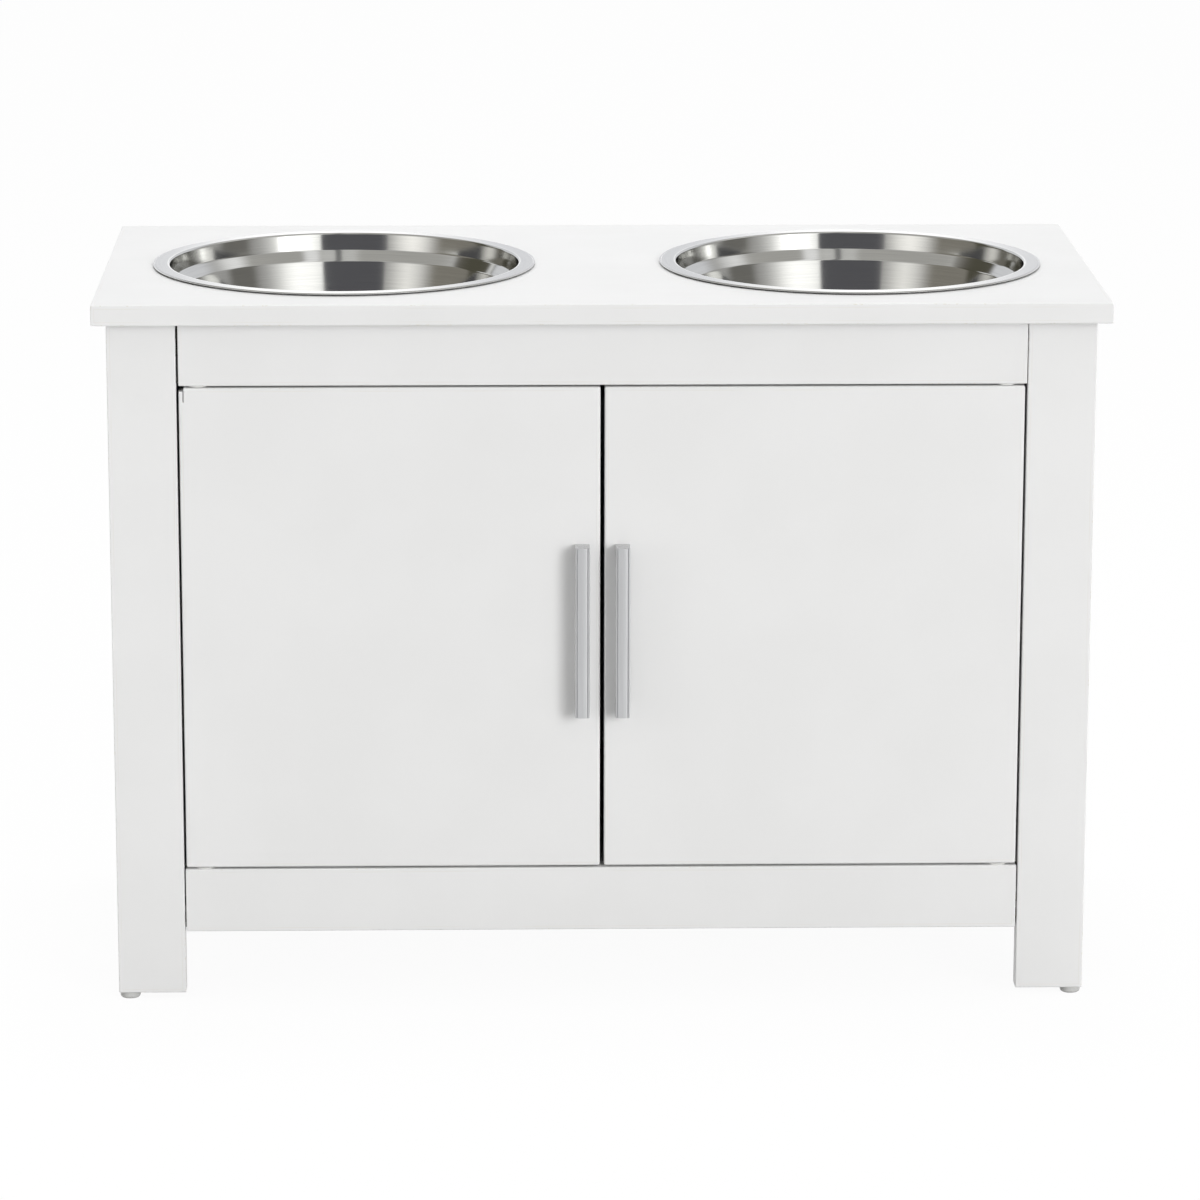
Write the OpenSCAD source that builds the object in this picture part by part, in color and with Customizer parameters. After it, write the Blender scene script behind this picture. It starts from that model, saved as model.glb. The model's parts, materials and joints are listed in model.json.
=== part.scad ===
// Elevated dog feeder: a low cabinet with two doors, whose top panel holds two lift-out steel bowls.
// Millimetres. +Z is up and the doors face -Y. The origin is on the floor, at the centre of the
// overall length and of the overall depth, handles included.

/* [Top panel] */
// Length of the top panel
top_w = 740; // [690:5:900]
// Depth of the top panel
top_d = 360; // [345:5:460]
// Thickness of the top panel
top_t = 15; // [12:0.5:22]
// How far the top panel stands past each side panel
top_over_side = 10; // [0:1:20]
// How far the top panel stands past the stiles in front
top_over_front = 12; // [2:1:20]
// Chamfer round the top panel's edges
top_edge = 1.5; // [0.5:0.1:3]

/* [Boards] */
// Height of the side panels and stiles, from the legs' ends to the top panel
side_h = 507; // [470:1:620]
// Thickness of the side panels
side_t = 15; // [14:0.5:20]
// Thickness of the stiles and front rails
frame_t = 15; // [14:0.5:20]
// Width of a stile, seen from the front
stile_w = 50; // [40:1:70]
// Height of the top front rail and of the upper rear rail
top_rail_h = 46.5; // [44:0.5:70]
// Height of the bottom front rail
bottom_rail_h = 48; // [44:0.5:70]
// Clear height between the legs, from their ends to the rails
toe_h = 47.5; // [30:0.5:90]
// Width of a leg, seen from the side
leg_d = 50; // [36:1:80]
// Radius in the corners of the side panels' cut-outs
toe_r = 12; // [2:1:25]
// Thickness of the cabinet floor
floor_t = 15; // [14:0.5:20]
// Thickness of the rear rails
rear_rail_t = 15; // [14:0.5:20]
// Thickness of the back panel
back_t = 3; // [2.5:0.5:5]
// How far the back panel reaches into the rebate of each side panel
back_lap = 7; // [5:0.5:8]
// Chamfer along the boards' edges
edge = 0.8; // [0.3:0.1:1.5]

/* [Doors] */
// Thickness of a door
door_t = 15; // [14:0.5:20]
// Gap between a door and its stile
door_gap_side = 1.8; // [1.5:0.1:3]
// Gap between the two doors
door_gap_mid = 3.2; // [2:0.1:5]
// Gap between a door and the rails above and below it
door_gap_end = 1.5; // [1:0.1:3]
// Rounding of a door's edges
door_edge_r = 1.5; // [1:0.1:3]
// Distance of the pivot from a door's outer edge
pivot_in = 13.5; // [12:0.5:16]

/* [Pivots] */
// Diameter of a pivot pin
pin_d = 5; // [4:0.5:6]
// Length of a pivot pin inside the door
pin_in_door = 25; // [15:1:40]
// Diameter of a pivot bushing's body
bushing_d = 9; // [8:0.5:10]
// Depth of a pivot bushing in its rail
bushing_depth = 10; // [8:0.5:12]
// Diameter of a pivot bushing's flange
flange_d = 14; // [12:0.5:18]

/* [Handles] */
// Length of a handle
handle_l = 128; // [90:1:200]
// Width of a handle
handle_w = 10.5; // [9:0.5:16]
// How far a handle stands out of the door
handle_out = 16; // [14:0.5:35]
// Thickness of a handle's bar, front to back
handle_bar_t = 6; // [4:0.5:8]
// Thickness of a handle's posts, along its length
handle_post_t = 8; // [7:0.5:14]
// Distance of a handle's centre line from the door's inner edge
handle_in = 13.2; // [10:0.1:40]
// Height of the dome across a handle's front
handle_dome = 0.5; // [0.2:0.1:1]
// Diameter of the handle screws
handle_screw_d = 4; // [3:0.5:4]

/* [Bowls] */
// Outer diameter of a bowl's rim
bowl_rim_d = 286; // [278:1:300]
// Diameter of a bowl's mouth, inside the flat flange
bowl_mouth_d = 263; // [255:1:266]
// Depth of a bowl, inside
bowl_depth = 90; // [70:1:120]
// Thickness of the bowls' steel
bowl_t = 0.9; // [0.7:0.1:1.5]
// Height of the rim's turned-down edge
bowl_lip = 2; // [1.5:0.1:4]
// Depth at which a bowl's shoulder starts
shoulder_z = 13; // [10:1:20]
// Height of a bowl's shoulder
shoulder_h = 8; // [5:1:12]
// How far a bowl's shoulder steps in
shoulder_in = 6; // [3:0.5:10]
// Diameter of a bowl's bottom, measured to the corner of wall and bottom
bowl_bottom_d = 214; // [180:1:225]
// Radius between a bowl's wall and its bottom
bowl_corner_r = 22; // [10:1:30]
// Distance from the top panel's end to a bowl's centre
bowl_inset = 179; // [175:1:190]
// Clearance between a bowl and its cut-out
bowl_clear = 1.5; // [1:0.1:2.5]

/* [Fittings] */
// Height of a glide
glide_h = 5; // [3:0.5:8]
// Diameter of a glide
glide_d = 15; // [12:0.5:15]
// Distance of a glide's centre from the outer faces of its leg
glide_in = 8; // [7.5:0.5:12]
// Diameter of the wooden dowels
dowel_d = 8; // [6:0.5:8]
// Length of a dowel in the board that it meets face on
dowel_face = 10; // [8:0.5:11]
// Length of a dowel in the board that it meets edge on
dowel_edge = 20; // [15:1:25]
// Diameter of the cam discs
cam_d = 15; // [12:0.5:16]
// Distance from a joint to the centre of its cam disc
cam_back = 24; // [18:0.5:30]
// Board left behind a cam disc
cam_skin = 2.5; // [1.5:0.5:4]
// Length of a cam stud's thread
stud_thread = 10; // [8:0.5:11]

/* [Catches] */
// Width of a catch housing
catch_w = 36; // [30:1:44]
// Depth of a catch housing, front to back
catch_t = 12; // [10:0.5:16]
// Distance of a catch from the middle of the cabinet
catch_x = 24; // [23:1:60]
// Height of a strike plate
strike_h = 12; // [10:0.5:14]
// Thickness of a strike plate
strike_t = 1.2; // [0.8:0.1:2]
// Gap between a catch's pole plates and its strike plate
catch_gap = 0.3; // [0.2:0.1:0.6]

/* [Hidden] */
$fn = 64;

// Clearances
fit = 0.02;         // radius of a pressed fit
running = 0.05;     // radius of a running fit
drill_end = 0.5;    // room past the end of what sits in a blind hole
seat_gap = 0.3;     // between a bushing's flange and the door that turns on it
over = 1;           // how far a cut runs past the surface that it opens

// Places across the length
half_w = top_w / 2 - top_over_side;
x_side = half_w - side_t;
x_stile = half_w - stile_w;
x_leg = half_w - side_t / 2;
x_glide = half_w - glide_in;
door_w = x_stile - door_gap_side - door_gap_mid / 2;
x_pivot = x_stile - door_gap_side - pivot_in;
x_handle = door_gap_mid / 2 + handle_in;
x_bowl = top_w / 2 - bowl_inset;

// Places across the depth
handle_proud = max(handle_out - top_over_front, 0);
y_back = (top_d + handle_proud) / 2;
y_top = y_back - top_d;
y_front = y_top + top_over_front;
y_frame = y_front + frame_t;
y_frame_mid = y_front + frame_t / 2;
y_door_back = y_front + door_t;
y_pivot = y_front + door_t / 2;
y_inner_back = y_back - back_t;
y_rear_rail = y_inner_back - rear_rail_t;
y_rear_mid = y_inner_back - rear_rail_t / 2;
y_bowl = y_back - top_d / 2;
y_front_glide = y_front + glide_in;
y_rear_glide = y_back - glide_in;

// Heights
z_leg = glide_h;
z_toe = z_leg + toe_h;
z_floor = z_toe + bottom_rail_h;
z_floor_mid = z_floor - floor_t / 2;
z_rear_mid = (z_toe + z_floor - floor_t) / 2;
z_body = z_leg + side_h;
z_rail = z_body - top_rail_h;
z_top = z_body + top_t;
z_rim = z_top + bowl_lip;
door_lo = z_floor + door_gap_end;
door_hi = z_rail - door_gap_end;
z_handle = (door_lo + door_hi) / 2;

// Pivot pins and bushings
flange_t = door_gap_end - seat_gap;
pin_in_rail = bushing_depth - drill_end;

// Screws and nails: shaft diameter, length, head diameter, head height
handle_screw = [handle_screw_d, door_t + handle_out - handle_bar_t / 2 - drill_end, 8, 2.4];
catch_screw = [2.5, 14, 5, 1.2];
strike_screw = [2, 9, 4, 0.6];
back_nail = [1.4, 15, 3.6, 0.6];
glide_nail = [2.2, 18, 5.5, 1.2];
slot_share = [0.55, 0.12];  // length and width of a screw's cross slot, as shares of its head

// Glides
glide_edge = 2;         // rounding of the underside's edge
nail_seat = 1;          // depth of the nail's head under the glide's top

// Handles
handle_edge = 0.9;      // easing of the front's long edges
handle_inner_r = 2.5;   // between the bar and its posts

// Bowls
rim_r = 1.1;            // where the flange turns down at the rim
mouth_r = 1.6;          // where the flange turns down into the bowl
wall_lean = 1.2;        // how far the wall leans in above the shoulder
shoulder_r = [2.5, 4];  // at the shoulder's upper and lower end
cut_out_d = bowl_mouth_d + 2 * (bowl_t + bowl_clear);

// Magnetic catch
catch_screw_in = 5;     // from the housing's ends to its screws
catch_screw_x = catch_w / 2 - catch_screw_in;
catch_plate_h = 20;
nose_in = 4;            // from the housing's ends to its nose
nose_up = 3.5;          // how far the nose runs up behind the rail
magnet = [18, 4, 8];
pole_t = 1.2;           // thickness of a pole plate
pole_proud = 0.6;       // of the housing's nose
pole_l = magnet.y + 2 * pole_proud;
strike_w = 28;
strike_in = 2;          // from the door's upper edge
y_pole = y_door_back + catch_gap;
z_strike = door_hi - strike_in - strike_h / 2;

// Cam discs and their studs
cam_slot = [2.4, 1.4, 8];
stud_d = 5;
stud_head_d = 6.4;
stud_head_h = 3;
stud_neck_h = 2;
stud_collar_t = 1.5;
stud_bevel = 1;
stud_past = 2;          // how far a stud reaches past the middle of its disc
stud_hole_d = 7;        // in the board and in the cam disc

// Bevels at the ends of the pivot pins and of the dowels
pin_bevel = 0.5;
dowel_bevel = 1;

// Colours
white = "#f3f3f1";
steel = "#c9cbcd";
satin = "#b9bcc0";
nylon = "#e9e9e6";
zinc = "#a9abad";
wood = "#d8b98a";
ferrite = "#3a3a3c";

// ---- Joints between the boards -------------------------------------------------------------
// Each joint is [point on the joint, direction into the board that it enters edge on], and a cam
// joint adds the direction in which its disc opens. s is -1 on the left and 1 on the right.

// n points between a and b, half a step from either end
function spread(a, b, n) = [for (i = [0:n - 1]) a + (b - a) * (i + 0.5) / n];

joint_in = 60;          // from a board's end to its first cam joint
dowel_in = 28;          // from a board's end to its first dowel
rail_dowels = [9, 22];  // from a rail's edge to its dowels

function top_side_cams(s) =
  [for (y = [y_frame + joint_in, y_inner_back - joint_in]) [[s * x_leg, y, z_body], [0, 0, -1], [-s, 0, 0]]];
function stile_side_cams(s) =
  [for (z = [z_floor + joint_in, z_body - joint_in]) [[s * x_leg, y_frame, z], [0, 1, 0], [-s, 0, 0]]];
function floor_side_cams(s) =
  [for (y = [y_frame + joint_in, y_inner_back - joint_in])
    [[s * x_side, y, z_floor_mid], [-s, 0, 0], [0, 0, -1]]];

function top_side_dowels(s) =
  [for (y = [y_frame + dowel_in, y_inner_back - dowel_in]) [[s * x_leg, y, z_body], [0, 0, -1]]];
function stile_side_dowels(s) =
  [for (z = [z_toe + dowel_in / 2, (z_floor + z_body) / 2]) [[s * x_leg, y_frame, z], [0, 1, 0]]];
function floor_side_dowels(s) =
  [for (y = [y_frame + dowel_in, y_rear_rail - dowel_in]) [[s * x_side, y, z_floor_mid], [-s, 0, 0]]];
function rail_stile_dowels(s) =
  [for (d = rail_dowels, z = [z_body - d, z_toe + d]) [[s * x_stile, y_frame_mid, z], [-s, 0, 0]]];
function rear_rail_dowels(s) =
  [for (z = [z_body - rail_dowels[0], z_body - rail_dowels[1], z_rear_mid])
    [[s * x_side, y_rear_mid, z], [-s, 0, 0]]];
floor_rail_dowels = [for (x = spread(-x_pivot, x_pivot, 3)) [[x, y_frame, z_floor_mid], [0, 1, 0]]];
top_rail_dowels =
  [for (x = spread(-x_pivot, x_pivot, 3), y = [y_frame_mid, y_rear_mid]) [[x, y, z_body], [0, 0, -1]]];

sides = [-1, 1];
all_cams = [for (s = sides) each concat(top_side_cams(s), stile_side_cams(s), floor_side_cams(s))];
all_dowels = concat(
  [for (s = sides) each concat(top_side_dowels(s), stile_side_dowels(s), floor_side_dowels(s))],
  [for (s = sides) each concat(rail_stile_dowels(s), rear_rail_dowels(s))],
  floor_rail_dowels,
  top_rail_dowels
);

// Nails of the back panel, each at its place on the panel's outer face
x_back_nail = x_side + back_lap / 2;
back_nails = concat(
  [for (s = sides, z = spread(z_toe, z_body, 5)) [s * x_back_nail, y_back, z]],
  [for (x = spread(-x_side, x_side, 4), z = [z_rail + rail_dowels[0], z_rear_mid]) [x, y_back, z]]
);

// Turns local Z along d and local X along n
module aim(p, d, n) {
  c = cross(d, n);
  multmatrix([[n.x, c.x, d.x, p.x], [n.y, c.y, d.y, p.y], [n.z, c.z, d.z, p.z]]) children();
}

// A direction square to d
function square_to(d) = abs(d.x) > 0.5 ? [0, 1, 0] : [1, 0, 0];

module dowel_holes(joints) {
  for (j = joints) aim(j[0], j[1], square_to(j[1]))
    translate([0, 0, -dowel_face - drill_end])
      cylinder(h = dowel_face + dowel_edge + 2 * drill_end, d = dowel_d + 2 * fit);
}

// The holes of cam joints in the board that they enter edge on: the stud's, and the disc's pocket
module cam_holes(joints, t) {
  for (j = joints) aim(j[0], j[1], j[2]) {
    translate([0, 0, -over]) cylinder(h = cam_back + over, d = stud_hole_d);
    translate([cam_skin - t / 2 - fit, 0, cam_back]) rotate([0, 90, 0])
      cylinder(h = t - cam_skin + over, d = cam_d + 2 * fit);
  }
}

// The holes of cam joints in the board that takes only the studs' threads
module stud_holes(joints) {
  for (j = joints) aim(j[0], j[1], j[2])
    translate([0, 0, -stud_thread - drill_end])
      cylinder(h = stud_thread + drill_end + over, d = stud_d + 2 * fit);
}

// ---- Shapes shared by the boards -----------------------------------------------------------

module chamfered(a, b, c) {
  polygon([[c, 0], [a - c, 0], [a, c], [a, b - c], [a - c, b], [c, b], [0, b - c], [0, c]]);
}

// A board between two opposite corners, with its twelve edges chamfered by c
module board(low, high, c = edge) {
  s = high - low;
  translate(low) intersection() {
    linear_extrude(s.z) chamfered(s.x, s.y, c);
    translate([0, s.y, 0]) rotate([90, 0, 0]) linear_extrude(s.y) chamfered(s.x, s.z, c);
    rotate([90, 0, 90]) linear_extrude(s.x) chamfered(s.y, s.z, c);
  }
}

// A board that is mirrored to the right where s is 1: x runs from the middle outwards
module side_board(s, low, high, c = edge) {
  a = min(s * low.x, s * high.x);
  b = max(s * low.x, s * high.x);
  board([a, low.y, low.z], [b, high.y, high.z], c);
}

// Points of an arc about m, from angle a0 to a1
function arc(m, r, a0, a1, n = 8) =
  [for (i = [0:n]) let (a = a0 + (a1 - a0) * i / n) m + r * [cos(a), sin(a)]];

function unit(v) = v / norm(v);

// The corner at b between a and c, as an arc of radius r
function corner(a, b, c, r, n = 6) =
  let (u = unit(a - b), v = unit(c - b), half = acos(u * v) / 2,
       m = b + unit(u + v) * r / sin(half), p = b + u * r / tan(half) - m, q = b + v * r / tan(half) - m,
       a0 = atan2(p.y, p.x), turn = atan2(q.y, q.x) - a0,
       sweep = turn > 180 ? turn - 360 : turn < -180 ? turn + 360 : turn)
  arc(m, r, a0, a0 + sweep, n);

// A path through points [x, y, radius], with an arc of that radius at each point between its ends
function rounded(pts) =
  let (last = len(pts) - 1, xy = [for (p = pts) [p.x, p.y]])
  [for (i = [0:last]) each i == 0 || i == last ? [xy[i]] : corner(xy[i - 1], xy[i], xy[i + 1], pts[i].z)];

// A path moved sideways by t, to the left of its direction
function moved(path, t) =
  let (last = len(path) - 1)
  [for (i = [0:last]) let (d = unit(path[min(i + 1, last)] - path[max(i - 1, 0)])) path[i] + t * [-d.y, d.x]];

// ---- Boards --------------------------------------------------------------------------------

module top_panel() {
  color(white) difference() {
    board([-top_w / 2, y_top, z_body], [top_w / 2, y_back, z_top], top_edge);
    for (s = sides) {
      translate([s * x_bowl, y_bowl, z_body - over])
        cylinder(h = top_t + 2 * over, d = cut_out_d, $fn = 128);
      dowel_holes(top_side_dowels(s));
      stud_holes(top_side_cams(s));
    }
    dowel_holes(top_rail_dowels);
  }
}

// The cut-out between a side panel's front and rear leg, as seen from the side
module toe_cut() {
  r = toe_r;
  y0 = y_front + leg_d;
  y1 = y_back - leg_d;
  polygon(concat(
    [[y0, z_leg - over]],
    arc([y0 + r, z_toe - r], r, 180, 90),
    arc([y1 - r, z_toe - r], r, 90, 0),
    [[y1, z_leg - over]]
  ));
}

module side_panel(s) {
  color(white) difference() {
    side_board(s, [x_side, y_frame, z_leg], [half_w, y_back, z_body]);
    rotate([90, 0, 90]) translate([0, 0, -top_w / 2]) linear_extrude(top_w) toe_cut();
    mirror([s < 0 ? 1 : 0, 0, 0]) translate([x_side - over, y_inner_back, z_toe])
      cube([over + back_lap + fit, back_t + over, side_h]);
    dowel_holes(concat(top_side_dowels(s), stile_side_dowels(s)));
    dowel_holes(concat(floor_side_dowels(s), rear_rail_dowels(s)));
    cam_holes(concat(top_side_cams(s), stile_side_cams(s)), side_t);
    stud_holes(floor_side_cams(s));
    for (p = back_nails) if (p.x * s > x_side) nail_hole(p);
    leg_nail_hole(s, y_rear_glide);
  }
}

module stile(s) {
  color(white) difference() {
    side_board(s, [x_stile, y_front, z_leg], [half_w, y_frame, z_body]);
    dowel_holes(concat(stile_side_dowels(s), rail_stile_dowels(s)));
    stud_holes(stile_side_cams(s));
    leg_nail_hole(s, y_front_glide);
  }
}

module top_front_rail() {
  color(white) difference() {
    board([-x_stile, y_front, z_rail], [x_stile, y_frame, z_body]);
    dowel_holes(top_rail_dowels);
    for (s = sides) {
      dowel_holes(rail_stile_dowels(s));
      bushing_hole(s, z_rail, 1);
      for (x = [-catch_screw_x, catch_screw_x]) catch_screw_at(s, x) screw_hole(catch_screw);
    }
  }
}

module bottom_front_rail() {
  color(white) difference() {
    board([-x_stile, y_front, z_toe], [x_stile, y_frame, z_floor]);
    dowel_holes(floor_rail_dowels);
    for (s = sides) {
      dowel_holes(rail_stile_dowels(s));
      bushing_hole(s, z_floor, -1);
    }
  }
}

module floor_panel() {
  color(white) difference() {
    board([-x_side, y_frame, z_floor - floor_t], [x_side, y_inner_back, z_floor]);
    dowel_holes(floor_rail_dowels);
    for (s = sides) {
      dowel_holes(floor_side_dowels(s));
      cam_holes(floor_side_cams(s), floor_t);
    }
  }
}

module rear_top_rail() {
  color(white) difference() {
    board([-x_side, y_rear_rail, z_rail], [x_side, y_inner_back, z_body]);
    dowel_holes(top_rail_dowels);
    for (s = sides) dowel_holes(rear_rail_dowels(s));
    for (p = back_nails) nail_hole(p);
  }
}

module rear_bottom_rail() {
  color(white) difference() {
    board([-x_side, y_rear_rail, z_toe], [x_side, y_inner_back, z_floor - floor_t]);
    for (s = sides) dowel_holes(rear_rail_dowels(s));
    for (p = back_nails) nail_hole(p);
  }
}

module back_panel() {
  w = 2 * (x_side + back_lap);
  color(white) difference() {
    translate([-w / 2, y_inner_back, z_toe]) cube([w, back_t, z_body - z_toe]);
    for (p = back_nails) nail_hole(p);
  }
}

// ---- Doors ---------------------------------------------------------------------------------

module rounded_rect(a, b, r) {
  polygon(concat(
    arc([r, r], r, 180, 270),
    arc([a - r, r], r, 270, 360),
    arc([a - r, b - r], r, 0, 90),
    arc([r, b - r], r, 90, 180)
  ));
}

// A door with its outer edge at the stile, seen from above in x and y and from the side in y and z
module door(s) {
  h = door_hi - door_lo;
  x0 = s > 0 ? door_gap_mid / 2 : -door_gap_mid / 2 - door_w;
  color(white) difference() {
    translate([x0, y_front, door_lo]) intersection() {
      linear_extrude(h) rounded_rect(door_w, door_t, door_edge_r);
      rotate([90, 0, 90]) linear_extrude(door_w) chamfered(door_t, h, edge);
    }
    for (z = [door_lo - over, door_hi - pin_in_door - drill_end])
      translate([s * x_pivot, y_pivot, z])
        cylinder(h = pin_in_door + drill_end + over, d = pin_d + 2 * fit);
    for (e = sides) handle_screw_at(s, e) translate([0, 0, -door_t - over])
      cylinder(h = door_t + 2 * over, d = handle_screw_d + 2 * running);
    translate([s * catch_x, y_door_back, z_strike]) strike_shape(strike_t + fit, fit);
    strike_screw_at(s) screw_hole(strike_screw);
  }
}

// A rod along Z from z = 0, with both ends chamfered by c
module rod(d, h, c) {
  r = d / 2;
  rotate_extrude() polygon([[0, 0], [r - c, 0], [r, c], [r, h - c], [r - c, h], [0, h]]);
}

// The pin in the end of a door at height z, pointing up or down into its bushing
module pivot_pin(s, z, up) {
  color(zinc) translate([s * x_pivot, y_pivot, z - up * pin_in_door])
    mirror([0, 0, up < 0 ? 1 : 0]) rod(pin_d, pin_in_door + door_gap_end + pin_in_rail, pin_bevel);
}

// A bushing in the edge of a rail at height z, whose body points up or down
module bushing(s, z, up) {
  color(nylon) translate([s * x_pivot, y_pivot, z]) mirror([0, 0, up < 0 ? 1 : 0]) difference() {
    union() {
      translate([0, 0, -flange_t]) cylinder(h = flange_t, d = flange_d);
      cylinder(h = bushing_depth, d = bushing_d);
    }
    translate([0, 0, -flange_t - over])
      cylinder(h = flange_t + bushing_depth + 2 * over, d = pin_d + 2 * running);
  }
}

module bushing_hole(s, z, up) {
  translate([s * x_pivot, y_pivot, z - (up > 0 ? over : bushing_depth + drill_end)])
    cylinder(h = bushing_depth + drill_end + over, d = bushing_d + 2 * fit);
}

// ---- Handles -------------------------------------------------------------------------------

// Seen from above, with the door's face along x: flat sides, eased corners and a domed front
module handle_section() {
  r = handle_w / 2;
  e = handle_edge;
  flat = r - e;
  dome_r = (flat * flat + handle_dome * handle_dome) / (2 * handle_dome);
  reach = asin(flat / dome_r);
  polygon(concat(
    [[r, 0], [-r, 0], [-r, e + handle_dome - handle_out]],
    arc([0, dome_r - handle_out], dome_r, 270 - reach, 270 + reach, 12),
    [[r, e + handle_dome - handle_out]]
  ));
}

// Seen from the side: the bar with a post at either end
module handle_outline() {
  end_z = handle_l / 2;
  gap_y = handle_bar_t - handle_out;
  gap_z = end_z - handle_post_t;
  r = handle_inner_r;
  polygon(concat(
    [[0, end_z], [-handle_out, end_z], [-handle_out, -end_z], [0, -end_z], [0, -gap_z]],
    arc([gap_y + r, r - gap_z], r, 270, 180),
    arc([gap_y + r, gap_z - r], r, 180, 90),
    [[0, gap_z]]
  ));
}

module handle(s) {
  color(satin) difference() {
    translate([s * x_handle, y_front, z_handle]) intersection() {
      translate([0, 0, -handle_l / 2]) linear_extrude(handle_l) handle_section();
      rotate([90, 0, 90]) translate([0, 0, -handle_w / 2]) linear_extrude(handle_w) handle_outline();
    }
    for (e = sides) handle_screw_at(s, e) screw_hole(handle_screw);
  }
}

// ---- Bowls ---------------------------------------------------------------------------------

// The inner face, from the rim's turned-down edge to the middle of the bottom, with z = 0 on the flange
bowl_path = rounded([
  [bowl_rim_d / 2, -bowl_lip, 0],
  [bowl_rim_d / 2, 0, rim_r],
  [bowl_mouth_d / 2, 0, mouth_r],
  [bowl_mouth_d / 2 - wall_lean, -shoulder_z, shoulder_r[0]],
  [bowl_mouth_d / 2 - wall_lean - shoulder_in, -shoulder_z - shoulder_h, shoulder_r[1]],
  [bowl_bottom_d / 2, -bowl_depth, bowl_corner_r],
  [0, -bowl_depth, 0]
]);

module bowl(s) {
  outer = moved(bowl_path, bowl_t);
  color(steel) translate([s * x_bowl, y_bowl, z_rim]) rotate_extrude($fn = 180)
    polygon(concat(bowl_path, [for (i = [len(outer) - 1:-1:0]) outer[i]]));
}

// ---- Catches -------------------------------------------------------------------------------

// A strike plate's outline, let into the door's inner face by t
module strike_shape(t, grow) {
  translate([-strike_w / 2 - grow, -t, -strike_h / 2 - grow])
    cube([strike_w + 2 * grow, t + (grow > 0 ? over : 0), strike_h + 2 * grow]);
}

module strike_plate(s) {
  color(zinc) difference() {
    translate([s * catch_x, y_door_back, z_strike]) strike_shape(strike_t, 0);
    strike_screw_at(s) screw_hole(strike_screw);
  }
}

// A plate on the back of the top rail, with a nose below the rail that holds the magnet
module catch_housing(s) {
  nose_h = z_rail - (z_strike - strike_h / 2);
  color(nylon) difference() {
    union() {
      translate([s * catch_x - catch_w / 2, y_frame, z_rail]) cube([catch_w, catch_t / 2, catch_plate_h]);
      translate([s * catch_x - catch_w / 2 + nose_in, y_pole + pole_proud, z_rail - nose_h])
        cube([catch_w - 2 * nose_in, y_frame + catch_t - y_pole - pole_proud, nose_h + nose_up]);
    }
    translate([s * catch_x - magnet.x / 2 - pole_t - fit, y_pole - over, z_strike - magnet.z / 2 - fit])
      cube([magnet.x + 2 * (pole_t + fit), over + pole_l + drill_end, magnet.z + 2 * fit]);
    for (x = [-catch_screw_x, catch_screw_x]) catch_screw_at(s, x) screw_hole(catch_screw);
  }
}

module catch_magnet(s) {
  color(ferrite) translate([s * catch_x - magnet.x / 2, y_pole + pole_l - magnet.y, z_strike - magnet.z / 2])
    cube(magnet);
}

module catch_poles(s) {
  color(zinc) for (e = sides)
    translate([s * catch_x + e * (magnet.x + pole_t) / 2 - pole_t / 2, y_pole, z_strike - magnet.z / 2])
      cube([pole_t, pole_l, magnet.z]);
}

// ---- Screws, nails, cams, dowels and glides ------------------------------------------------

// A screw or nail along -Z, with the seat of its head at z = 0
module screw(f) {
  rotate_extrude(convexity = 4)
    polygon([[0, -f.y], [f.x / 4, -f.y], [f.x / 2, -f.y + f.x / 2], [f.x / 2, 0], [f[2] / 2, 0],
      [f[2] / 2, f[3] * 0.5], [f[2] / 2 - f[3] * 0.5, f[3]], [0, f[3]]]);
}

module slotted_screw(f) {
  slot = [f[2] * slot_share.x, f[2] * slot_share.y, f[3]];
  difference() {
    screw(f);
    for (a = [0, 90]) rotate(a) translate([0, 0, f[3]]) cube(slot, center = true);
  }
}

module screw_hole(f, past_head = over) {
  translate([0, 0, -f.y - drill_end]) cylinder(h = f.y + drill_end + fit, d = f.x + 2 * fit);
  cylinder(h = f[3] + past_head, d = f[2] + 2 * fit);
}

module handle_screw_at(s, e) {
  translate([s * x_handle, y_door_back, z_handle + e * (handle_l - handle_post_t) / 2])
    rotate([-90, 0, 0]) children();
}

module strike_screw_at(s) {
  translate([s * catch_x, y_door_back - strike_screw[3], z_strike]) rotate([-90, 0, 0]) children();
}

module catch_screw_at(s, x) {
  translate([s * catch_x + x, y_frame + catch_t / 2 - catch_screw[3], z_rail + catch_plate_h / 2])
    rotate([-90, 0, 0]) children();
}

module back_nail_at(p) {
  translate([p.x, p.y - back_nail[3], p.z]) rotate([-90, 0, 0]) children();
}

module nail_hole(p) {
  back_nail_at(p) screw_hole(back_nail);
}

module leg_nail_at(s, y) {
  translate([s * x_glide, y, z_leg - nail_seat]) rotate([180, 0, 0]) children();
}

module leg_nail_hole(s, y) {
  leg_nail_at(s, y) screw_hole(glide_nail, fit);
}

// A glide under a leg, with its nail's head sunk in it
module glide(s, y) {
  r = glide_d / 2;
  color(nylon) difference() {
    translate([s * x_glide, y, 0]) rotate_extrude() polygon(concat(
      [[0, 0]],
      arc([r - glide_edge, glide_edge], glide_edge, 270, 360),
      [[r, glide_h], [0, glide_h]]
    ));
    leg_nail_hole(s, y);
  }
}

module cam_disc(t) {
  difference() {
    translate([cam_skin - t / 2, 0, 0]) rotate([0, 90, 0]) cylinder(h = t - cam_skin, d = cam_d);
    translate([0, 0, -cam_d]) cylinder(h = cam_d + stud_past + 1, d = stud_hole_d);
    for (a = [0, 90]) translate([t / 2, 0, 0]) rotate([a, 0, 0]) cube(cam_slot, center = true);
  }
}

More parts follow.
